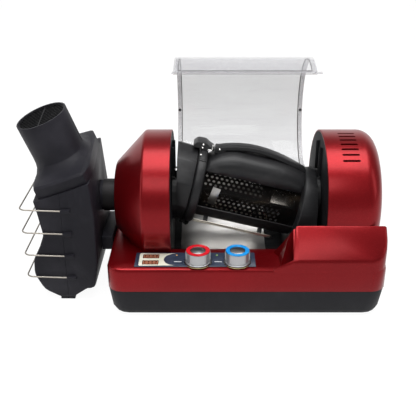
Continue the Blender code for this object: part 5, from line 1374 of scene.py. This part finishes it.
@dataclass
class Controls(SubAssembly):
    """The control strip with its display, marks and lamps, and the two knobs.

    The flute's section is given in millimetres.
    """

    deck_top: float = 80.7 * MM
    field_left_x: float = -148.6 * MM
    field_low_y: float = -106 * MM
    field_high_y: float = -70.8 * MM
    field_corner: float = 2.5 * MM
    bite_centre_x: float = -98.3 * MM
    bite_radius: float = 16.3 * MM
    windows_x: Flat = (-144 * MM, -121.4 * MM)
    windows_y: tuple[Flat, ...] = ((-85.4 * MM, -74.4 * MM), (-102.5 * MM, -91.1 * MM))
    figures: int = 4
    print_rise: float = 0.06 * MM
    bars_x: tuple[Flat, ...] = ((-100.5 * MM, -90 * MM), (-44.5 * MM, -34 * MM))
    bars_y: float = -94.8 * MM
    lamps_y: float = -76.5 * MM
    lamps: tuple[tuple[str, float, Finish], ...] = (("amber_lamp_dot", -97 * MM, Finishes.AMBER),
                                                    ("green_lamp_dot", -41 * MM, Finishes.GREEN))
    knobs: tuple[tuple[str, float, Finish], ...] = (("temperature", -67 * MM, Finishes.RED_RING),
                                                    ("time", -13 * MM, Finishes.BLUE_RING))
    knob_y: float = -95.3 * MM
    knob_z: float = 82.5 * MM
    knob_bore: float = 3.3 * MM
    knob_skirt: float = 18.6 * MM
    knob_radius: float = 16.6 * MM
    knob_height: float = 16 * MM
    knob_dish: float = 10.5 * MM
    knob_dome: float = 1.6 * MM
    knob_pocket: float = 11 * MM
    flutes: int = 44
    flute_section: tuple[Flat, ...] = ((-0.32, -0.5), (0.32, -0.5), (0.14, 0.4), (-0.14, 0.4))
    flute_half: float = 6.4 * MM
    flute_middle: float = 8.6 * MM
    edge_radii: Flat = (17.7 * MM, 18.65 * MM)
    edge_rise: float = 0.45 * MM

    def build(self) -> None:
        """The strip, what is printed on it, and the knobs."""
        self.skin("control_panel", Finishes.FILM, 0.25 * MM)
        self.skin("display_window", Finishes.FIELD)
        self.build_field()
        self.build_windows()
        self.build_marks()
        for name, x, ring in self.knobs:
            self.build_knob(name, x, ring)

    def build_field(self) -> None:
        """The cream field with the round bite at its right."""
        low, high = self.field_low_y, self.field_high_y
        middle, radius = (low + high) / 2, self.bite_radius
        reach = math.asin(min(1.0, (high - low) / 2 / radius))
        angles = [math.pi + reach * (step / 12 - 1) for step in range(25)]
        bite = [(self.bite_centre_x + radius * math.cos(angle), middle + radius * math.sin(angle))
                for angle in reversed(angles)]
        corners = rounded([(*bite[-1], 0), (self.field_left_x, high, self.field_corner),
                           (self.field_left_x, low, self.field_corner), (*bite[0], 0)], 6)
        top = self.deck_top
        self.show("display_field", sheet(corners + bite[1:-1], top - 0.2 * MM, top + self.print_rise), "base",
                  Finishes.FIELD)

    def build_windows(self) -> None:
        """Two dark windows, each with a row of seven-segment figures."""
        top = self.deck_top + self.print_rise
        left, right = self.windows_x
        panes = [sheet(rectangle(left, low, right, high, 0.8 * MM, 4), top - 0.2 * MM, top + self.print_rise)
                 for low, high in self.windows_y]
        rows = [self.figure_row(low, high, top + self.print_rise) for low, high in self.windows_y]
        self.show("display_panes", joined(panes), "base", Finishes.WINDOW)
        self.show("display_figures", joined(rows), "base", Finishes.FIGURE)

    def figure_row(self, low: float, high: float, top: float) -> Mesh:
        """Figures eight, side by side in a window.

        Args:
            low: The window's lower edge along Y.
            high: Its upper edge along Y.
            top: The height that the figures lie at.

        Returns:
            The row's mesh.
        """
        tall = (high - low) * 0.72
        wide, half = tall * 0.46, tall * 0.055
        segments = []
        upright = [(side * wide / 2, up * tall / 4, False) for up in (1, -1) for side in (-1, 1)]
        for x, y, across in [(0, tall / 2, True), (0, 0, True), (0, -tall / 2, True), *upright]:
            long = (wide if across else tall / 2) / 2 - half * 1.4
            points = [(-long, -half), (long, -half), (long + half, 0), (long, half), (-long, half),
                      (-long - half, 0)]
            outline = [(x + a, y + b) if across else (x - b, y + a) for a, b in points]
            segments.append(sheet(outline, -0.1 * MM, self.print_rise))
        left, right = self.windows_x
        pitch = (right - left) / (self.figures + 0.3)
        row = AlongRow().run(joined(segments), self.figures, Finishes.FIGURE, Step=pitch)
        return moved(row, shift((left + right) / 2 - pitch * (self.figures - 1) / 2, (low + high) / 2, top))

    def build_marks(self) -> None:
        """A pale bar in a fine frame beside each knob, and a small lamp above it."""
        top, y = self.deck_top, self.bars_y
        bars, frames = [], []
        for left, right in self.bars_x:
            bar = rectangle(left, y - 0.9 * MM, right, y + 0.9 * MM, 0.5 * MM, 3)
            bars.append(sheet(bar, top - 0.1 * MM, top + self.print_rise))
            edge = rectangle(left - 3 * MM, y - 7 * MM, right + 3 * MM, y + 4 * MM, 2 * MM, 4)
            path = [(*spot, top) for spot in edge + edge[:1]]
            frames.append(TubeAlongPath().run(path, 0.14 * MM, Finishes.LINE, 6))
        self.show("strip_bars", joined(bars), "base", Finishes.MARK)
        self.show("strip_frames", joined(frames), "base", Finishes.LINE)
        for name, x, finish in self.lamps:
            lamp = moved(domed_head(1.3 * MM, 0.4 * MM), shift(x, self.lamps_y, top))
            self.show(name, lamp, "base", finish)

    def build_knob(self, name: str, x: float, ring: Finish) -> None:
        """A turned knob with fine flutes, a ring of enamel, a domed middle and a gold ring on the panel.

        Args:
            name: What the knob sets, as its nodes' names begin.
            x: Its middle along X.
            ring: The finish of its enamel ring.
        """
        bore, skirt, body = self.knob_bore, self.knob_skirt, self.knob_radius
        top, dish = self.knob_height, self.knob_dish
        outline = rounded([
            (bore, 0, 0), (skirt, 0, 0.4 * MM), (skirt, 1.6 * MM, 0.5 * MM), (body, 1.6 * MM, 0.2 * MM),
            (body, top - 0.4 * MM, 0.5 * MM), (16.5 * MM, top, 0.3 * MM), (16.4 * MM, top - 0.5 * MM, 0),
            (dish, top - 0.5 * MM, 0), (dish, top, 0.3 * MM)], 4)
        outline += [(dish * (1 - step / 8), top + self.knob_dome * math.sin(QUARTER_TURN * step / 8))
                    for step in range(1, 9)]
        outline += [(0.0, self.knob_pocket), (bore, self.knob_pocket)]
        node = name + "_knob"
        knob = moved(turned(outline, 96, axis="Z"), shift(x, self.knob_y, self.knob_z))
        self.show(node + "_dressed", knob, node, Finishes.SATIN, node)
        flute = sheet(in_mm(self.flute_section), -self.flute_half, self.flute_half, "YZ")
        ribs = AroundAxis().run(flute, self.flutes, Finishes.SATIN, Radius=body,
                                Step_Angle=2 * math.pi / self.flutes)
        stand = shift(x, self.knob_y, self.knob_z + self.flute_middle) @ spin(-QUARTER_TURN, "Y")
        self.show(node + "_flutes", moved(ribs, stand), node, Finishes.SATIN)
        self.skin(name + "_ring", ring)
        (inner, outer), low, high, soft = self.edge_radii, -0.1 * MM, self.edge_rise, 0.15 * MM
        section = rounded([(inner, low, 0), (outer, low, 0), (outer, high, soft), (inner, high, soft)], 3)
        edge = moved(turned(section, 96, axis="Z"), shift(x, self.knob_y, self.deck_top))
        self.show(name + "_dial_edge", edge, "base", Finishes.GOLD)


@dataclass
class Chamber(SubAssembly):
    """The tilted roasting chamber: cap, collar, glass, baffle, saddle, handle and latch.

    The vanes, the latch's outlines, the strap's bands, the rivets and the bent wire are given in millimetres,
    and an outline's third number is its corner's radius. A band's numbers are its
    inner and outer radius, the angles from the top towards the front where it starts and ends, in degrees,
    and where it starts and ends along the chamber.
    """

    centre: Point = (2 * MM, 15 * MM, 132.7 * MM)
    tilt: float = 14 * DEGREE
    glass_outer: float = 41 * MM
    glass_inner: float = 39 * MM
    glass_ends: Flat = (-82.7 * MM, 77.7 * MM)
    left_u: float = -69.7 * MM
    right_u: float = 73.7 * MM
    fold_y: float = -14 * MM
    wing_length: float = 47.8 * MM
    wing_angle: float = 41.2 * DEGREE
    lower_wing_length: float = 38 * MM
    lower_wing_angle: float = -78 * DEGREE
    baffle_thickness: float = 0.8 * MM
    hole_radius: float = 2.1 * MM
    hole_reach: float = 2 * MM
    hole_pitch: float = 7.6 * MM
    row_pitch: float = 6.5 * MM
    left_vane: tuple[Flat, ...] = ((-54, -19), (-43, -20.5), (-39, 6), (-51, 8))
    right_vane: tuple[Flat, ...] = ((37, 2), (72.5, 2), (72.5, 40), (41, 40))
    saddle_half_angle: float = 40 * DEGREE
    saddle_crown: float = 22 * MM
    saddle_inner: float = 41.3 * MM
    saddle_wall: float = 3 * MM
    cap_growth: float = 0.11
    collar_growth: float = 0.07
    cup_growth: float = 12 * MM
    handle_rise: float = 6 * MM
    latch_dome: tuple[Point, ...] = ((-93, 58.6, 1), (-63, 58.8, 1), (-62.2, 61.5, 1.5), (-71, 65.2, 6),
                                     (-76, 68.6, 5), (-88, 68.2, 6), (-93.5, 62, 4))
    handle_root: tuple[Point, ...] = ((-61.6, 56, 0.5), (-45, 56, 0.5), (-45, 61, 2), (-49, 66, 3),
                                      (-61.6, 64.6, 1.5))
    strap: tuple[tuple[float, ...], ...] = (
        (56.2, 57.5, 6, 172, -80.8, -72.2, 0.3, 48),
        (57, 59.2, 13, 31, -80, -73, 0.5),
        (57, 58.6, 29, 33, -81.4, -71.6, 0.4, 3),
        (57, 57.9, 86.4, 87.6, -81, -72, 0.2, 2),
    )
    strip_radius: float = 53.5 * MM
    strip_angle: float = 146 * DEGREE
    strip_half: float = 10.5 * MM
    strip_end_u: float = 50 * MM
    latch_rivets: tuple[Point, ...] = ((-80, -12, 65.5), (-80, -12, 60.6))
    collar_rivets: tuple[Point, ...] = ((-80.6, -22.6, 53.4), (-55.5, -9.2, 63))
    latch_wire: tuple[Point, ...] = ((-73, -9, 60), (-72, -12.8, 60), (-67, -12.8, 60.2), (-66.2, -12.8, 61),
                                     (-66.2, -12.8, 66.4), (-66.4, -12, 67.2), (-66.6, -9, 67.2))
    body: str = "roasting_chamber"

    def __post_init__(self) -> None:
        """Work out the chamber's frame."""
        self.frame = shift(*self.centre) @ spin(self.tilt, "Y")

    def build(self) -> None:
        """Skins for the black pieces, fine glass and baffle, and the bright fittings."""
        for node, edge, form in (("chamber_cap", 0.5, self.fuller_cap),
                                 ("cap_collar", 0.5, self.fuller_collar),
                                 ("end_collar", 0.6, self.fuller_cup),
                                 ("chamber_handle", 0.7, self.raised_handle)):
            self.skin(node, Finishes.COATING, edge * MM, shape_by=self.in_frame(form))
        self.build_saddle()
        self.build_latch()
        self.build_glass()
        self.build_baffle()
        self.build_vanes()
        self.set_in("collar_strap", joined([self.around(*band) for band in self.strap]), Finishes.COATING)
        self.build_rails()
        self.build_fittings()

    def set_in(self, name: str, mesh: Mesh, finish: Finish, *nodes: str, body: str | None = None) -> None:
        """Show a mesh that is made in the chamber's own frame."""
        self.show(name, moved(mesh, self.frame), body or self.body, finish, *nodes)

    def in_frame(self, form: Callable[[Vector], Vector]) -> Callable[[Vector], Vector]:
        """A form that works in the chamber's own frame, for points of the world."""
        back = self.frame.inverted()
        return lambda point: self.frame @ form(back @ point)

    @staticmethod
    def pushed_out(point: Vector, growth: float, fixed: float, blend: float, added: float = 0.0) -> Vector:
        """Push a point away from the chamber's axis.

        Args:
            point: The point in the chamber's frame.
            growth: The share that its radius grows by.
            fixed: The radius up to which nothing moves.
            blend: The width over which the push sets in.
            added: A length that its radius grows by.

        Returns:
            The point in its new place.
        """
        radius = math.hypot(point.y, point.z)
        if radius < fixed:
            return point
        share = min(1.0, (radius - fixed) / blend)
        scale = 1 + growth * share + added * share / radius
        return Vector((point.x, point.y * scale, point.z * scale))

    def fuller_cap(self, point: Vector) -> Vector:
        """The cap a little fuller, with its trunnion as it is."""
        along = min(1.0, max(0.2, (-point.x - 83 * MM) / (40 * MM)))
        return self.pushed_out(point, self.cap_growth * along, 20 * MM, 15 * MM)

    def fuller_collar(self, point: Vector) -> Vector:
        """The collar fuller outside, and as it is round the glass."""
        return self.pushed_out(point, self.collar_growth, 42 * MM, 5 * MM)

    def fuller_cup(self, point: Vector) -> Vector:
        """The end collar fuller outside, with its rails and trunnion as they are."""
        return self.pushed_out(point, 0.0, 44.6 * MM, 1.2 * MM, self.cup_growth)

    def raised_handle(self, point: Vector) -> Vector:
        """The handle's bow raised towards its right end, over the crowned saddle."""
        share = max(0.0, (point.x - 10 * MM) / (64 * MM))
        return point + Vector((0, 0, self.handle_rise * share * share))

    def saddle_rise(self, u: float, turn: float) -> float:
        """How far the saddle stands off the glass at this place and this share of its half angle.

        Args:
            u: The place along the chamber.
            turn: The share of the half angle, from -1 to 1.

        Returns:
            The rise in metres.
        """
        to_cup = max(0.0, (u - 20 * MM) / (54 * MM))
        to_latch = max(0.0, (-u - 24 * MM) / (40 * MM))
        crown = self.saddle_crown - 8 * MM * to_cup ** 2 - 15 * MM * to_latch ** 2
        return crown * (1 - turn ** 4)

    def saddle_ring(self, grid: bmesh.types.BMesh, u: float, steps: int) -> list[Any]:
        """The corners round the saddle's section at one place: its inner side, then its outer side back.

        Args:
            grid: The bmesh that gets the corners.
            u: The place along the chamber.
            steps: How many steps go round each side.

        Returns:
            The corners in their order.
        """
        ring = []
        inner, outer = self.saddle_inner, self.saddle_inner + self.saddle_wall
        for radius, order in ((inner, range(steps + 1)), (outer, range(steps, -1, -1))):
            for step in order:
                share = step / steps * 2 - 1
                angle = share * self.saddle_half_angle
                reach = radius + self.saddle_rise(u, share)
                ring.append(grid.verts.new((u, -reach * math.sin(angle), reach * math.cos(angle))))
        return ring

    def build_saddle(self, rows: int = 28, steps: int = 36) -> None:
        """The saddle over the glass, crowned in its middle, with its edges on the glass.

        Args:
            rows: How many steps go along the saddle.
            steps: How many go round it.
        """
        grid = bmesh.new()
        length = self.right_u - self.left_u
        rings = [self.saddle_ring(grid, self.left_u + length * row / rows, steps) for row in range(rows + 1)]
        for near, far in zip(rings, rings[1:]):
            bridge(grid, near, far)
        last = 2 * steps + 1
        for ring in (rings[0], rings[-1]):
            for step in range(steps):
                grid.faces.new((ring[step], ring[step + 1], ring[last - step - 1], ring[last - step]))
        saddle = softened(mesh_of(grid), 0.4 * MM)
        self.set_in("chamber_saddle_dressed", saddle, Finishes.COATING, "chamber_saddle")

    def build_latch(self) -> None:
        """The domed latch lever, and the block between it and the handle's bow."""
        lever = softened(sheet(rounded(in_mm(self.latch_dome), 6), -12 * MM, 12 * MM, "XZ"), 0.8 * MM, 3)
        self.set_in("latch_lever_dressed", lever, Finishes.COATING, "latch_lever", body="latch_lever")
        block = softened(sheet(rounded(in_mm(self.handle_root), 5), -9 * MM, 9 * MM, "XZ"), 0.7 * MM, 3)
        self.set_in("handle_root", block, Finishes.COATING)

    def build_glass(self) -> None:
        """The glass tube with rounded ends."""
        low, high = self.glass_ends
        outline = rectangle(self.glass_inner, low, self.glass_outer, high, 0.6 * MM, 3)
        self.set_in("glass_drum_dressed", turned(outline, 112), Finishes.GLASS, "glass_drum")

    def wing(self, columns: int, rows: int, first: Flat, length: float, angle: float) -> Mesh:
        """One perforated wing of the baffle.

        Args:
            columns: How many holes a row has.
            rows: How many rows there are.
            first: Where the first hole is, along the chamber and from the fold.
            length: How far the wing reaches from the fold.
            angle: How it leans.

        Returns:
            The wing in the chamber's frame, in place.
        """
        half = self.baffle_thickness / 2
        plate = sheet(rectangle(self.left_u, -half, self.right_u, length), -half, half)
        hole = turned(rectangle(0.0, -self.hole_reach, self.hole_radius, self.hole_reach), 14, axis="Z")
        holes = StaggeredRows().run(hole, columns * rows, Finishes.BAFFLE, Columns=float(columns),
                                    Pitch=self.hole_pitch, Row_Pitch=self.row_pitch)
        pierced = bored(plate, moved(holes, shift(*first, 0)))
        return moved(pierced, shift(0, self.fold_y, 0) @ spin(angle, "X"))

    def build_baffle(self) -> None:
        """The two wings that meet in a fold, with a hem along the fold."""
        upper = self.wing(12, 5, (-62 * MM, 9 * MM), self.wing_length, self.wing_angle)
        lower = self.wing(15, 4, (-56 * MM, 8 * MM), self.lower_wing_length, self.lower_wing_angle)
        ends = (self.left_u + 0.4 * MM, self.right_u - 0.4 * MM)
        fold = TubeAlongPath().run([(u, self.fold_y, 0) for u in ends], 0.7 * MM, Finishes.BAFFLE)
        fold.materials.clear()
        self.set_in("drum_baffle_dressed", joined([upper, lower, fold]), Finishes.BAFFLE, "drum_baffle")

    def build_vanes(self) -> None:
        """The bright unpierced plates at the two ends of the baffle."""
        left = sheet(in_mm(self.left_vane), self.fold_y - 3.2 * MM, self.fold_y - 2.4 * MM, "XZ")
        self.set_in("left_vane", softened(left, 0.2 * MM), Finishes.REFLECTOR)
        half = self.baffle_thickness / 2
        right = sheet(in_mm(self.right_vane), -half * 3, -half * 1.2)
        turn = shift(0, self.fold_y, 0) @ spin(self.wing_angle, "X") @ Matrix.Scale(-1, 4, (0, 0, 1))
        self.set_in("right_vane", moved(softened(right, 0.2 * MM), turn), Finishes.VANE)

    def around(self, inner: float, outer: float, start: float, end: float, low: float, high: float,
               edge: float = 0.3, steps: int = 16) -> Mesh:
        """A bent bar round the chamber's axis, from a band's six numbers."""
        outline = bow(inner * MM, outer * MM, (90 + start) * DEGREE, (90 + end) * DEGREE, steps)
        return softened(sheet(outline, low * MM, high * MM, "YZ"), edge * MM)

    def build_rails(self) -> None:
        """The dark rails below the glass, and the bright strips that stand off under them."""
        rails, strips, stands = [], [], []
        left, right, half, base = -69 * MM, self.strip_end_u, self.strip_half, self.strip_radius
        for side, edges in ((-1, (114, 130)), (1, (109, 139))):
            rails.append(self.around(44.4, 46.2, *sorted(side * edge for edge in edges), -69, 73, 0.5))
            outline = rounded([(left, -half, 0.5 * MM), (right, -half, 5 * MM), (right, half, 5 * MM),
                               (left, half, 0.5 * MM)], 6)
            plate = softened(sheet(outline, base, base + 0.9 * MM), 0.3 * MM)
            bead = rectangle(left + 1 * MM, -half * 0.2, right - 6 * MM, half * 0.05)
            ridge = softened(sheet(bead, base + 0.4 * MM, base + 2 * MM), 0.4 * MM)
            strips.append(moved(joined([plate, ridge]), spin(side * self.strip_angle, "X")))
            for u in (-52, 30):
                stands.append(self.around(44, 53.8, *sorted((side * 134, side * 142)), u - 3, u + 3, 0.4, 3))
        self.set_in("lower_rails", joined(rails + stands), Finishes.COATING)
        self.set_in("bright_strips", joined(strips), Finishes.STRIP)

    def build_fittings(self) -> None:
        """The rivets and the bent wire at the latch."""
        for name, body, spots in (("latch_rivets", "latch_lever", self.latch_rivets),
                                  ("collar_rivets", self.body, self.collar_rivets)):
            heads = [moved(domed_head(1.8 * MM, 1.6 * MM), shift(*spot) @ spin(QUARTER_TURN, "X"))
                     for spot in in_mm(spots)]
            self.set_in(name, joined(heads), Finishes.CHROME, body=body)
        wire = TubeAlongPath().run(in_mm(self.latch_wire), 0.75 * MM, Finishes.CHROME, 10)
        self.set_in("latch_wire", wire, Finishes.CHROME, body="latch_lever")


@dataclass
class Lid(SubAssembly):
    """The clear lid: its panel, frames, edge rail, rubber bumpers, dark seam lines and painted shade under
    the rail.
    """

    frames_x: Flat = (-102.6 * MM, 101.4 * MM)
    hinge: Point = (0, 103.163 * MM, 140.413 * MM)
    frame_half: float = 3 * MM
    cap_radius: float = 2.3 * MM
    cap_height: float = 0.55 * MM
    cap_orbit: float = 88.85 * MM
    cap_angle: float = 74 * DEGREE
    line_orbit: float = 90.9 * MM
    line_angles: Flat = (9 * DEGREE, 194.5 * DEGREE)
    line_width: float = 1.1 * MM
    open_angle: float = -81.5 * DEGREE

    def __post_init__(self) -> None:
        """Work out the matrix from the shut lid's place, about the drum's axis, to the open lid's."""
        hinge = Vector(self.hinge)
        opened = shift(*hinge) @ spin(self.open_angle, "X") @ shift(*-hinge)
        self.frame = opened @ shift(*AXIS)

    def build(self) -> None:
        """Skins, caps on the bumpers, the seam lines and the painted shade under the rail."""
        for node, finish, edge in (("panel", Finishes.CLEAR, 0.3), ("frame_left", Finishes.FRAME, 0.25),
                                   ("frame_right", Finishes.FRAME, 0.25), ("edge_rail", Finishes.FRAME, 0.4)):
            self.skin("lid_" + node, finish, edge * MM)
        self.build_bumper_caps()
        self.build_edge_lines()

    def build_bumper_caps(self) -> None:
        """Dark rubber caps on the inner faces of the frames, halfway round."""
        left, right = self.frames_x
        across, up = self.cap_orbit * math.cos(self.cap_angle), self.cap_orbit * math.sin(self.cap_angle)
        facing = spin(QUARTER_TURN + self.cap_angle, "X")
        caps = [moved(domed_head(self.cap_radius, self.cap_height), shift(x, across, up) @ facing)
                for x in (left + self.frame_half, right - self.frame_half)]
        self.show("lid_bumper_caps", moved(joined(caps), self.frame), "lid", Finishes.RUBBER)

    def build_edge_lines(self) -> None:
        """The dark seam lines along the frames, and a dark strip under the rail that is painted shade."""
        left, right = self.frames_x[0] + self.frame_half * 2, self.frames_x[1] - self.frame_half * 2
        start, end = self.line_angles
        orbit, outer, gap = self.line_orbit, self.line_orbit + 0.5 * MM, 0.25 * MM
        side = bow(orbit - 0.4 * MM, outer, start, end, 64)
        seam_lines_and_shade = [sheet(side, x, x + self.line_width, "YZ")
                 for x in (left + gap, right - gap - self.line_width)]
        # The dark strip under the rail is painted shade where the rail's underside lies in shade.
        under = bow(orbit - 2 * MM, outer, end - 1.1 * DEGREE, end, 3)
        seam_lines_and_shade.append(sheet(under, left + 1 * MM, right - 1 * MM, "YZ"))
        self.show("lid_edge_lines", moved(joined(seam_lines_and_shade), self.frame), "lid", Finishes.SEAM_AND_SHADE)


@dataclass
class Collector(SubAssembly):
    """The chaff collector: halves, spigot, lid with pipe and grille, guard wires and bracket."""

    roll: float = 7 * DEGREE
    slope: float = 19 * DEGREE
    top: Point = (-262.5 * MM, 3 * MM, 195.4 * MM)
    pipe_offset: float = 1 * MM
    grille_radius: float = 34.1 * MM
    grille_rim: float = 1.6 * MM
    grille_top: float = 68.6 * MM
    grille_thickness: float = 2.5 * MM
    bars: int = 11
    bar_half: float = 0.6 * MM
    cross_half: float = 0.9 * MM
    lid_growth: float = 0.18
    lid_blend: float = 14 * MM
    front_y: float = -70.6 * MM
    back_y: float = 76.6 * MM
    clip_x: float = -256 * MM
    reach_x: float = -313 * MM
    wire_radius: float = 1.1 * MM
    wire_bend: float = 9 * MM
    wire_rise: float = 2.5 * MM
    wires_z: tuple[float, ...] = (145.5 * MM, 110.33 * MM, 75.17 * MM, 40 * MM)

    def __post_init__(self) -> None:
        """Work out the frame of the sloping lid."""
        self.lid_frame = shift(*self.top) @ spin(-self.slope, "Y") @ spin(self.roll, "X")

    def build(self) -> None:
        """Skins for the mouldings, fine wires and the fine grille."""
        for node, edge in (("collector_body", 0.5), ("collector_front", 0.5), ("docking_bracket", 0.8)):
            self.skin(node, Finishes.COLLECTOR, edge * MM, 28 * DEGREE)
        self.skin("collector_lid", Finishes.COLLECTOR, 0.6 * MM, 28 * DEGREE, self.wider_lid)
        self.skin("collector_spigot", Finishes.COLLECTOR, 0.3 * MM)
        self.build_grille()
        for index, z in enumerate(self.wires_z):
            self.build_wire("guard_wire_" + str(index + 1), z)

    def wider_lid(self, point: Vector) -> Vector:
        """The lid's plate and skirt drawn out to the body's right wall, below the pipe's flare.

        Args:
            point: A point of the lid.

        Returns:
            Where the point comes to lie.
        """
        local = self.lid_frame.inverted() @ point
        share = min(1.0, max(0.0, (self.lid_blend - local.z) / self.lid_blend))
        if local.x > 0:
            local.x *= 1 + self.lid_growth * share
        return self.lid_frame @ local

    def build_grille(self) -> None:
        """A ring with fine bars across and one bar over them."""
        low, high = self.grille_top - self.grille_thickness, self.grille_top
        rim = self.grille_radius
        reach = rim - self.grille_rim / 2
        ring = turned(rectangle(rim - self.grille_rim, low, rim, high), 72, axis="Z")
        bar = sheet(rectangle(-0.5, -self.bar_half, 0.5, self.bar_half), low + 0.3 * MM, high - 0.5 * MM)
        across = AcrossRound().run(bar, self.bars, Finishes.BLACK, Radius=reach,
                                   Pitch=2 * rim / (self.bars + 1))
        across.materials.clear()
        cross = sheet(rectangle(-self.cross_half, -reach, self.cross_half, reach), low, high - 0.2 * MM)
        place = self.lid_frame @ shift(self.pipe_offset, 0, 0)
        self.show("outlet_grille_dressed", moved(joined([ring, across, cross]), place), "collector_lid",
                  Finishes.BLACK, "outlet_grille")

    def build_wire(self, node: str, z: float) -> None:
        """One bent guard wire, from clip to clip round the front half.

        Args:
            node: The wire's node.
            z: The wire's height at its clips.
        """
        slope = self.wire_rise / (self.clip_x - self.reach_x)
        bend, end_x = self.wire_bend, self.clip_x + 10 * MM
        flat = [(end_x, self.front_y)]
        for middle, first in ((self.front_y + bend, 1.5 * math.pi), (self.back_y - bend, math.pi)):
            angles = [first - QUARTER_TURN * step / 8 for step in range(9)]
            flat += [(self.reach_x + bend + bend * math.cos(a), middle + bend * math.sin(a)) for a in angles]
        flat.append((end_x, self.back_y))
        path = [(x, y, z + max(0.0, self.clip_x - x) * slope) for x, y in flat]
        wire = TubeAlongPath().run(path, self.wire_radius, Finishes.WIRE, 14)
        self.show(node + "_dressed", wire, "chaff_collector", Finishes.WIRE, node)


@dataclass(frozen=True)
class Lamp:
    """A soft rectangular light: its name, place, target, size and power."""

    name: str
    place: Point
    target: Point
    size: Flat
    power: float


@dataclass
class Studio:
    """The pale floor and backdrop, soft light and the camera."""

    camera_place: Point = (-53.35 * MM, -907.37 * MM, 550.2 * MM)
    camera_pitch: float = 64.5 * DEGREE
    lens: float = 58.78
    sensor: float = 36.0
    floor_half: float = 6.0
    backdrop_y: float = 2.6
    backdrop_height: float = 2.2
    floor_colour: Colour = (0.9, 0.9, 0.9)
    glow: float = 1.1
    glow_share: float = 0.86
    room_light: float = 0.25
    mirrored_room: float = 0.1
    lamps: tuple[Lamp, ...] = (
        Lamp("overhead_softbox", (0.0, -0.12, 1.7), (0.0, 0.0, 0.1), (1.7, 1.1), 34.0),
        Lamp("front_fill", (-0.2, -1.6, 1.6), (0.0, 0.0, 0.12), (1.3, 0.8), 11.0),
        Lamp("left_strip", (-1.5, -0.5, 0.8), (-0.1, 0.0, 0.12), (0.4, 1.2), 3.0),
        Lamp("right_strip", (1.5, -0.6, 0.9), (0.1, 0.0, 0.12), (0.4, 1.2), 3.0),
    )

    def build(self) -> None:
        """Floor, world, lights and camera."""
        self.build_floor()
        self.build_world()
        for lamp in self.lamps:
            self.build_lamp(lamp)
        self.build_camera()

    @staticmethod
    def ray_kinds(tree: NodeTree) -> list[Value]:
        """One for camera, mirror and see-through rays, each as a value of its own.

        Args:
            tree: The tree that gets the node.

        Returns:
            The three values.
        """
        path = tree.node("ShaderNodeLightPath")
        names = ("Is Camera Ray", "Is Glossy Ray", "Is Transmission Ray")
        return [Value(tree, path.outputs[name]) for name in names]

    def build_floor(self) -> None:
        """A pale floor and backdrop that keep a soft shadow and look white to the camera and in metal."""
        half, back, top = self.floor_half, self.backdrop_y, self.backdrop_height
        mesh = bpy.data.meshes.new("floor")
        floor = [(-half, -half, 0), (half, -half, 0), (half, half, 0), (-half, half, 0)]
        wall = [(-half, back, MM), (half, back, MM), (half, back, top), (-half, back, top)]
        mesh.from_pydata(floor + wall, [], [(0, 1, 2, 3), (4, 5, 6, 7)])
        material = bpy.data.materials.new("pale_floor")
        material.use_nodes = True
        tree = SurfaceTree(material)
        tree.dress(Base_Color=self.floor_colour, Roughness=0.9, Specular_IOR_Level=0.0)
        glow = tree.node("ShaderNodeEmission", None, {"Color": (1, 1, 1, 1), "Strength": self.glow})
        camera, mirror, through = self.ray_kinds(tree)
        seen = (camera + mirror + through).over(0.5)
        mixed = tree.node("ShaderNodeMixShader", None,
                          {0: seen * self.glow_share, 1: tree.shader.outputs[0], 2: glow.outputs[0]})
        tree.join(material.node_tree.nodes["Material Output"].inputs["Surface"], mixed.outputs[0])
        mesh.materials.append(material)
        placed(mesh, "floor")

    def build_world(self) -> None:
        """White to the camera and through glass, and softer as a light and in mirrors."""
        world = bpy.data.worlds.new("studio")
        bpy.context.scene.world = world
        world.use_nodes = True
        tree = NodeTree(world.node_tree)
        camera, mirror, through = self.ray_kinds(tree)
        seen = (camera + through).over(0.5)
        background = world.node_tree.nodes["Background"]
        background.inputs["Color"].default_value = (1, 1, 1, 1)
        tree.join(background.inputs["Strength"],
                  self.room_light + seen * (1 - self.room_light) + mirror * self.mirrored_room)

    @staticmethod
    def build_lamp(lamp: Lamp) -> None:
        """Add a light that points at its target.

        Args:
            lamp: What the light is like.
        """
        data = bpy.data.lights.new(lamp.name, "AREA")
        data.shape = "RECTANGLE"
        data.size, data.size_y = lamp.size
        data.energy = lamp.power
        item = placed(data, lamp.name)
        item.location = lamp.place
        item.rotation_euler = (Vector(lamp.target) - Vector(lamp.place)).to_track_quat("-Z", "Y").to_euler()

    def build_camera(self) -> None:
        """The camera at the photograph's angle."""
        data = bpy.data.cameras.new("camera")
        data.lens = self.lens
        data.sensor_width = self.sensor
        data.clip_start = 0.05
        data.clip_end = 50.0
        item = placed(data, "camera")
        item.location = self.camera_place
        item.rotation_euler = (self.camera_pitch, 0, 0)
        bpy.context.scene.camera = item
        bpy.context.scene.view_settings.view_transform = "Standard"


def main() -> None:
    """Build every sub-assembly in order, then the studio."""
    for assembly in (Base(), Housings(), Bay(), Controls(), Chamber(), Lid(), Collector()):
        assembly.build()
        LOG.info("%s: %d pieces", type(assembly).__name__, len(assembly.shown))
    Studio().build()


if __name__ == "__main__":
    main()
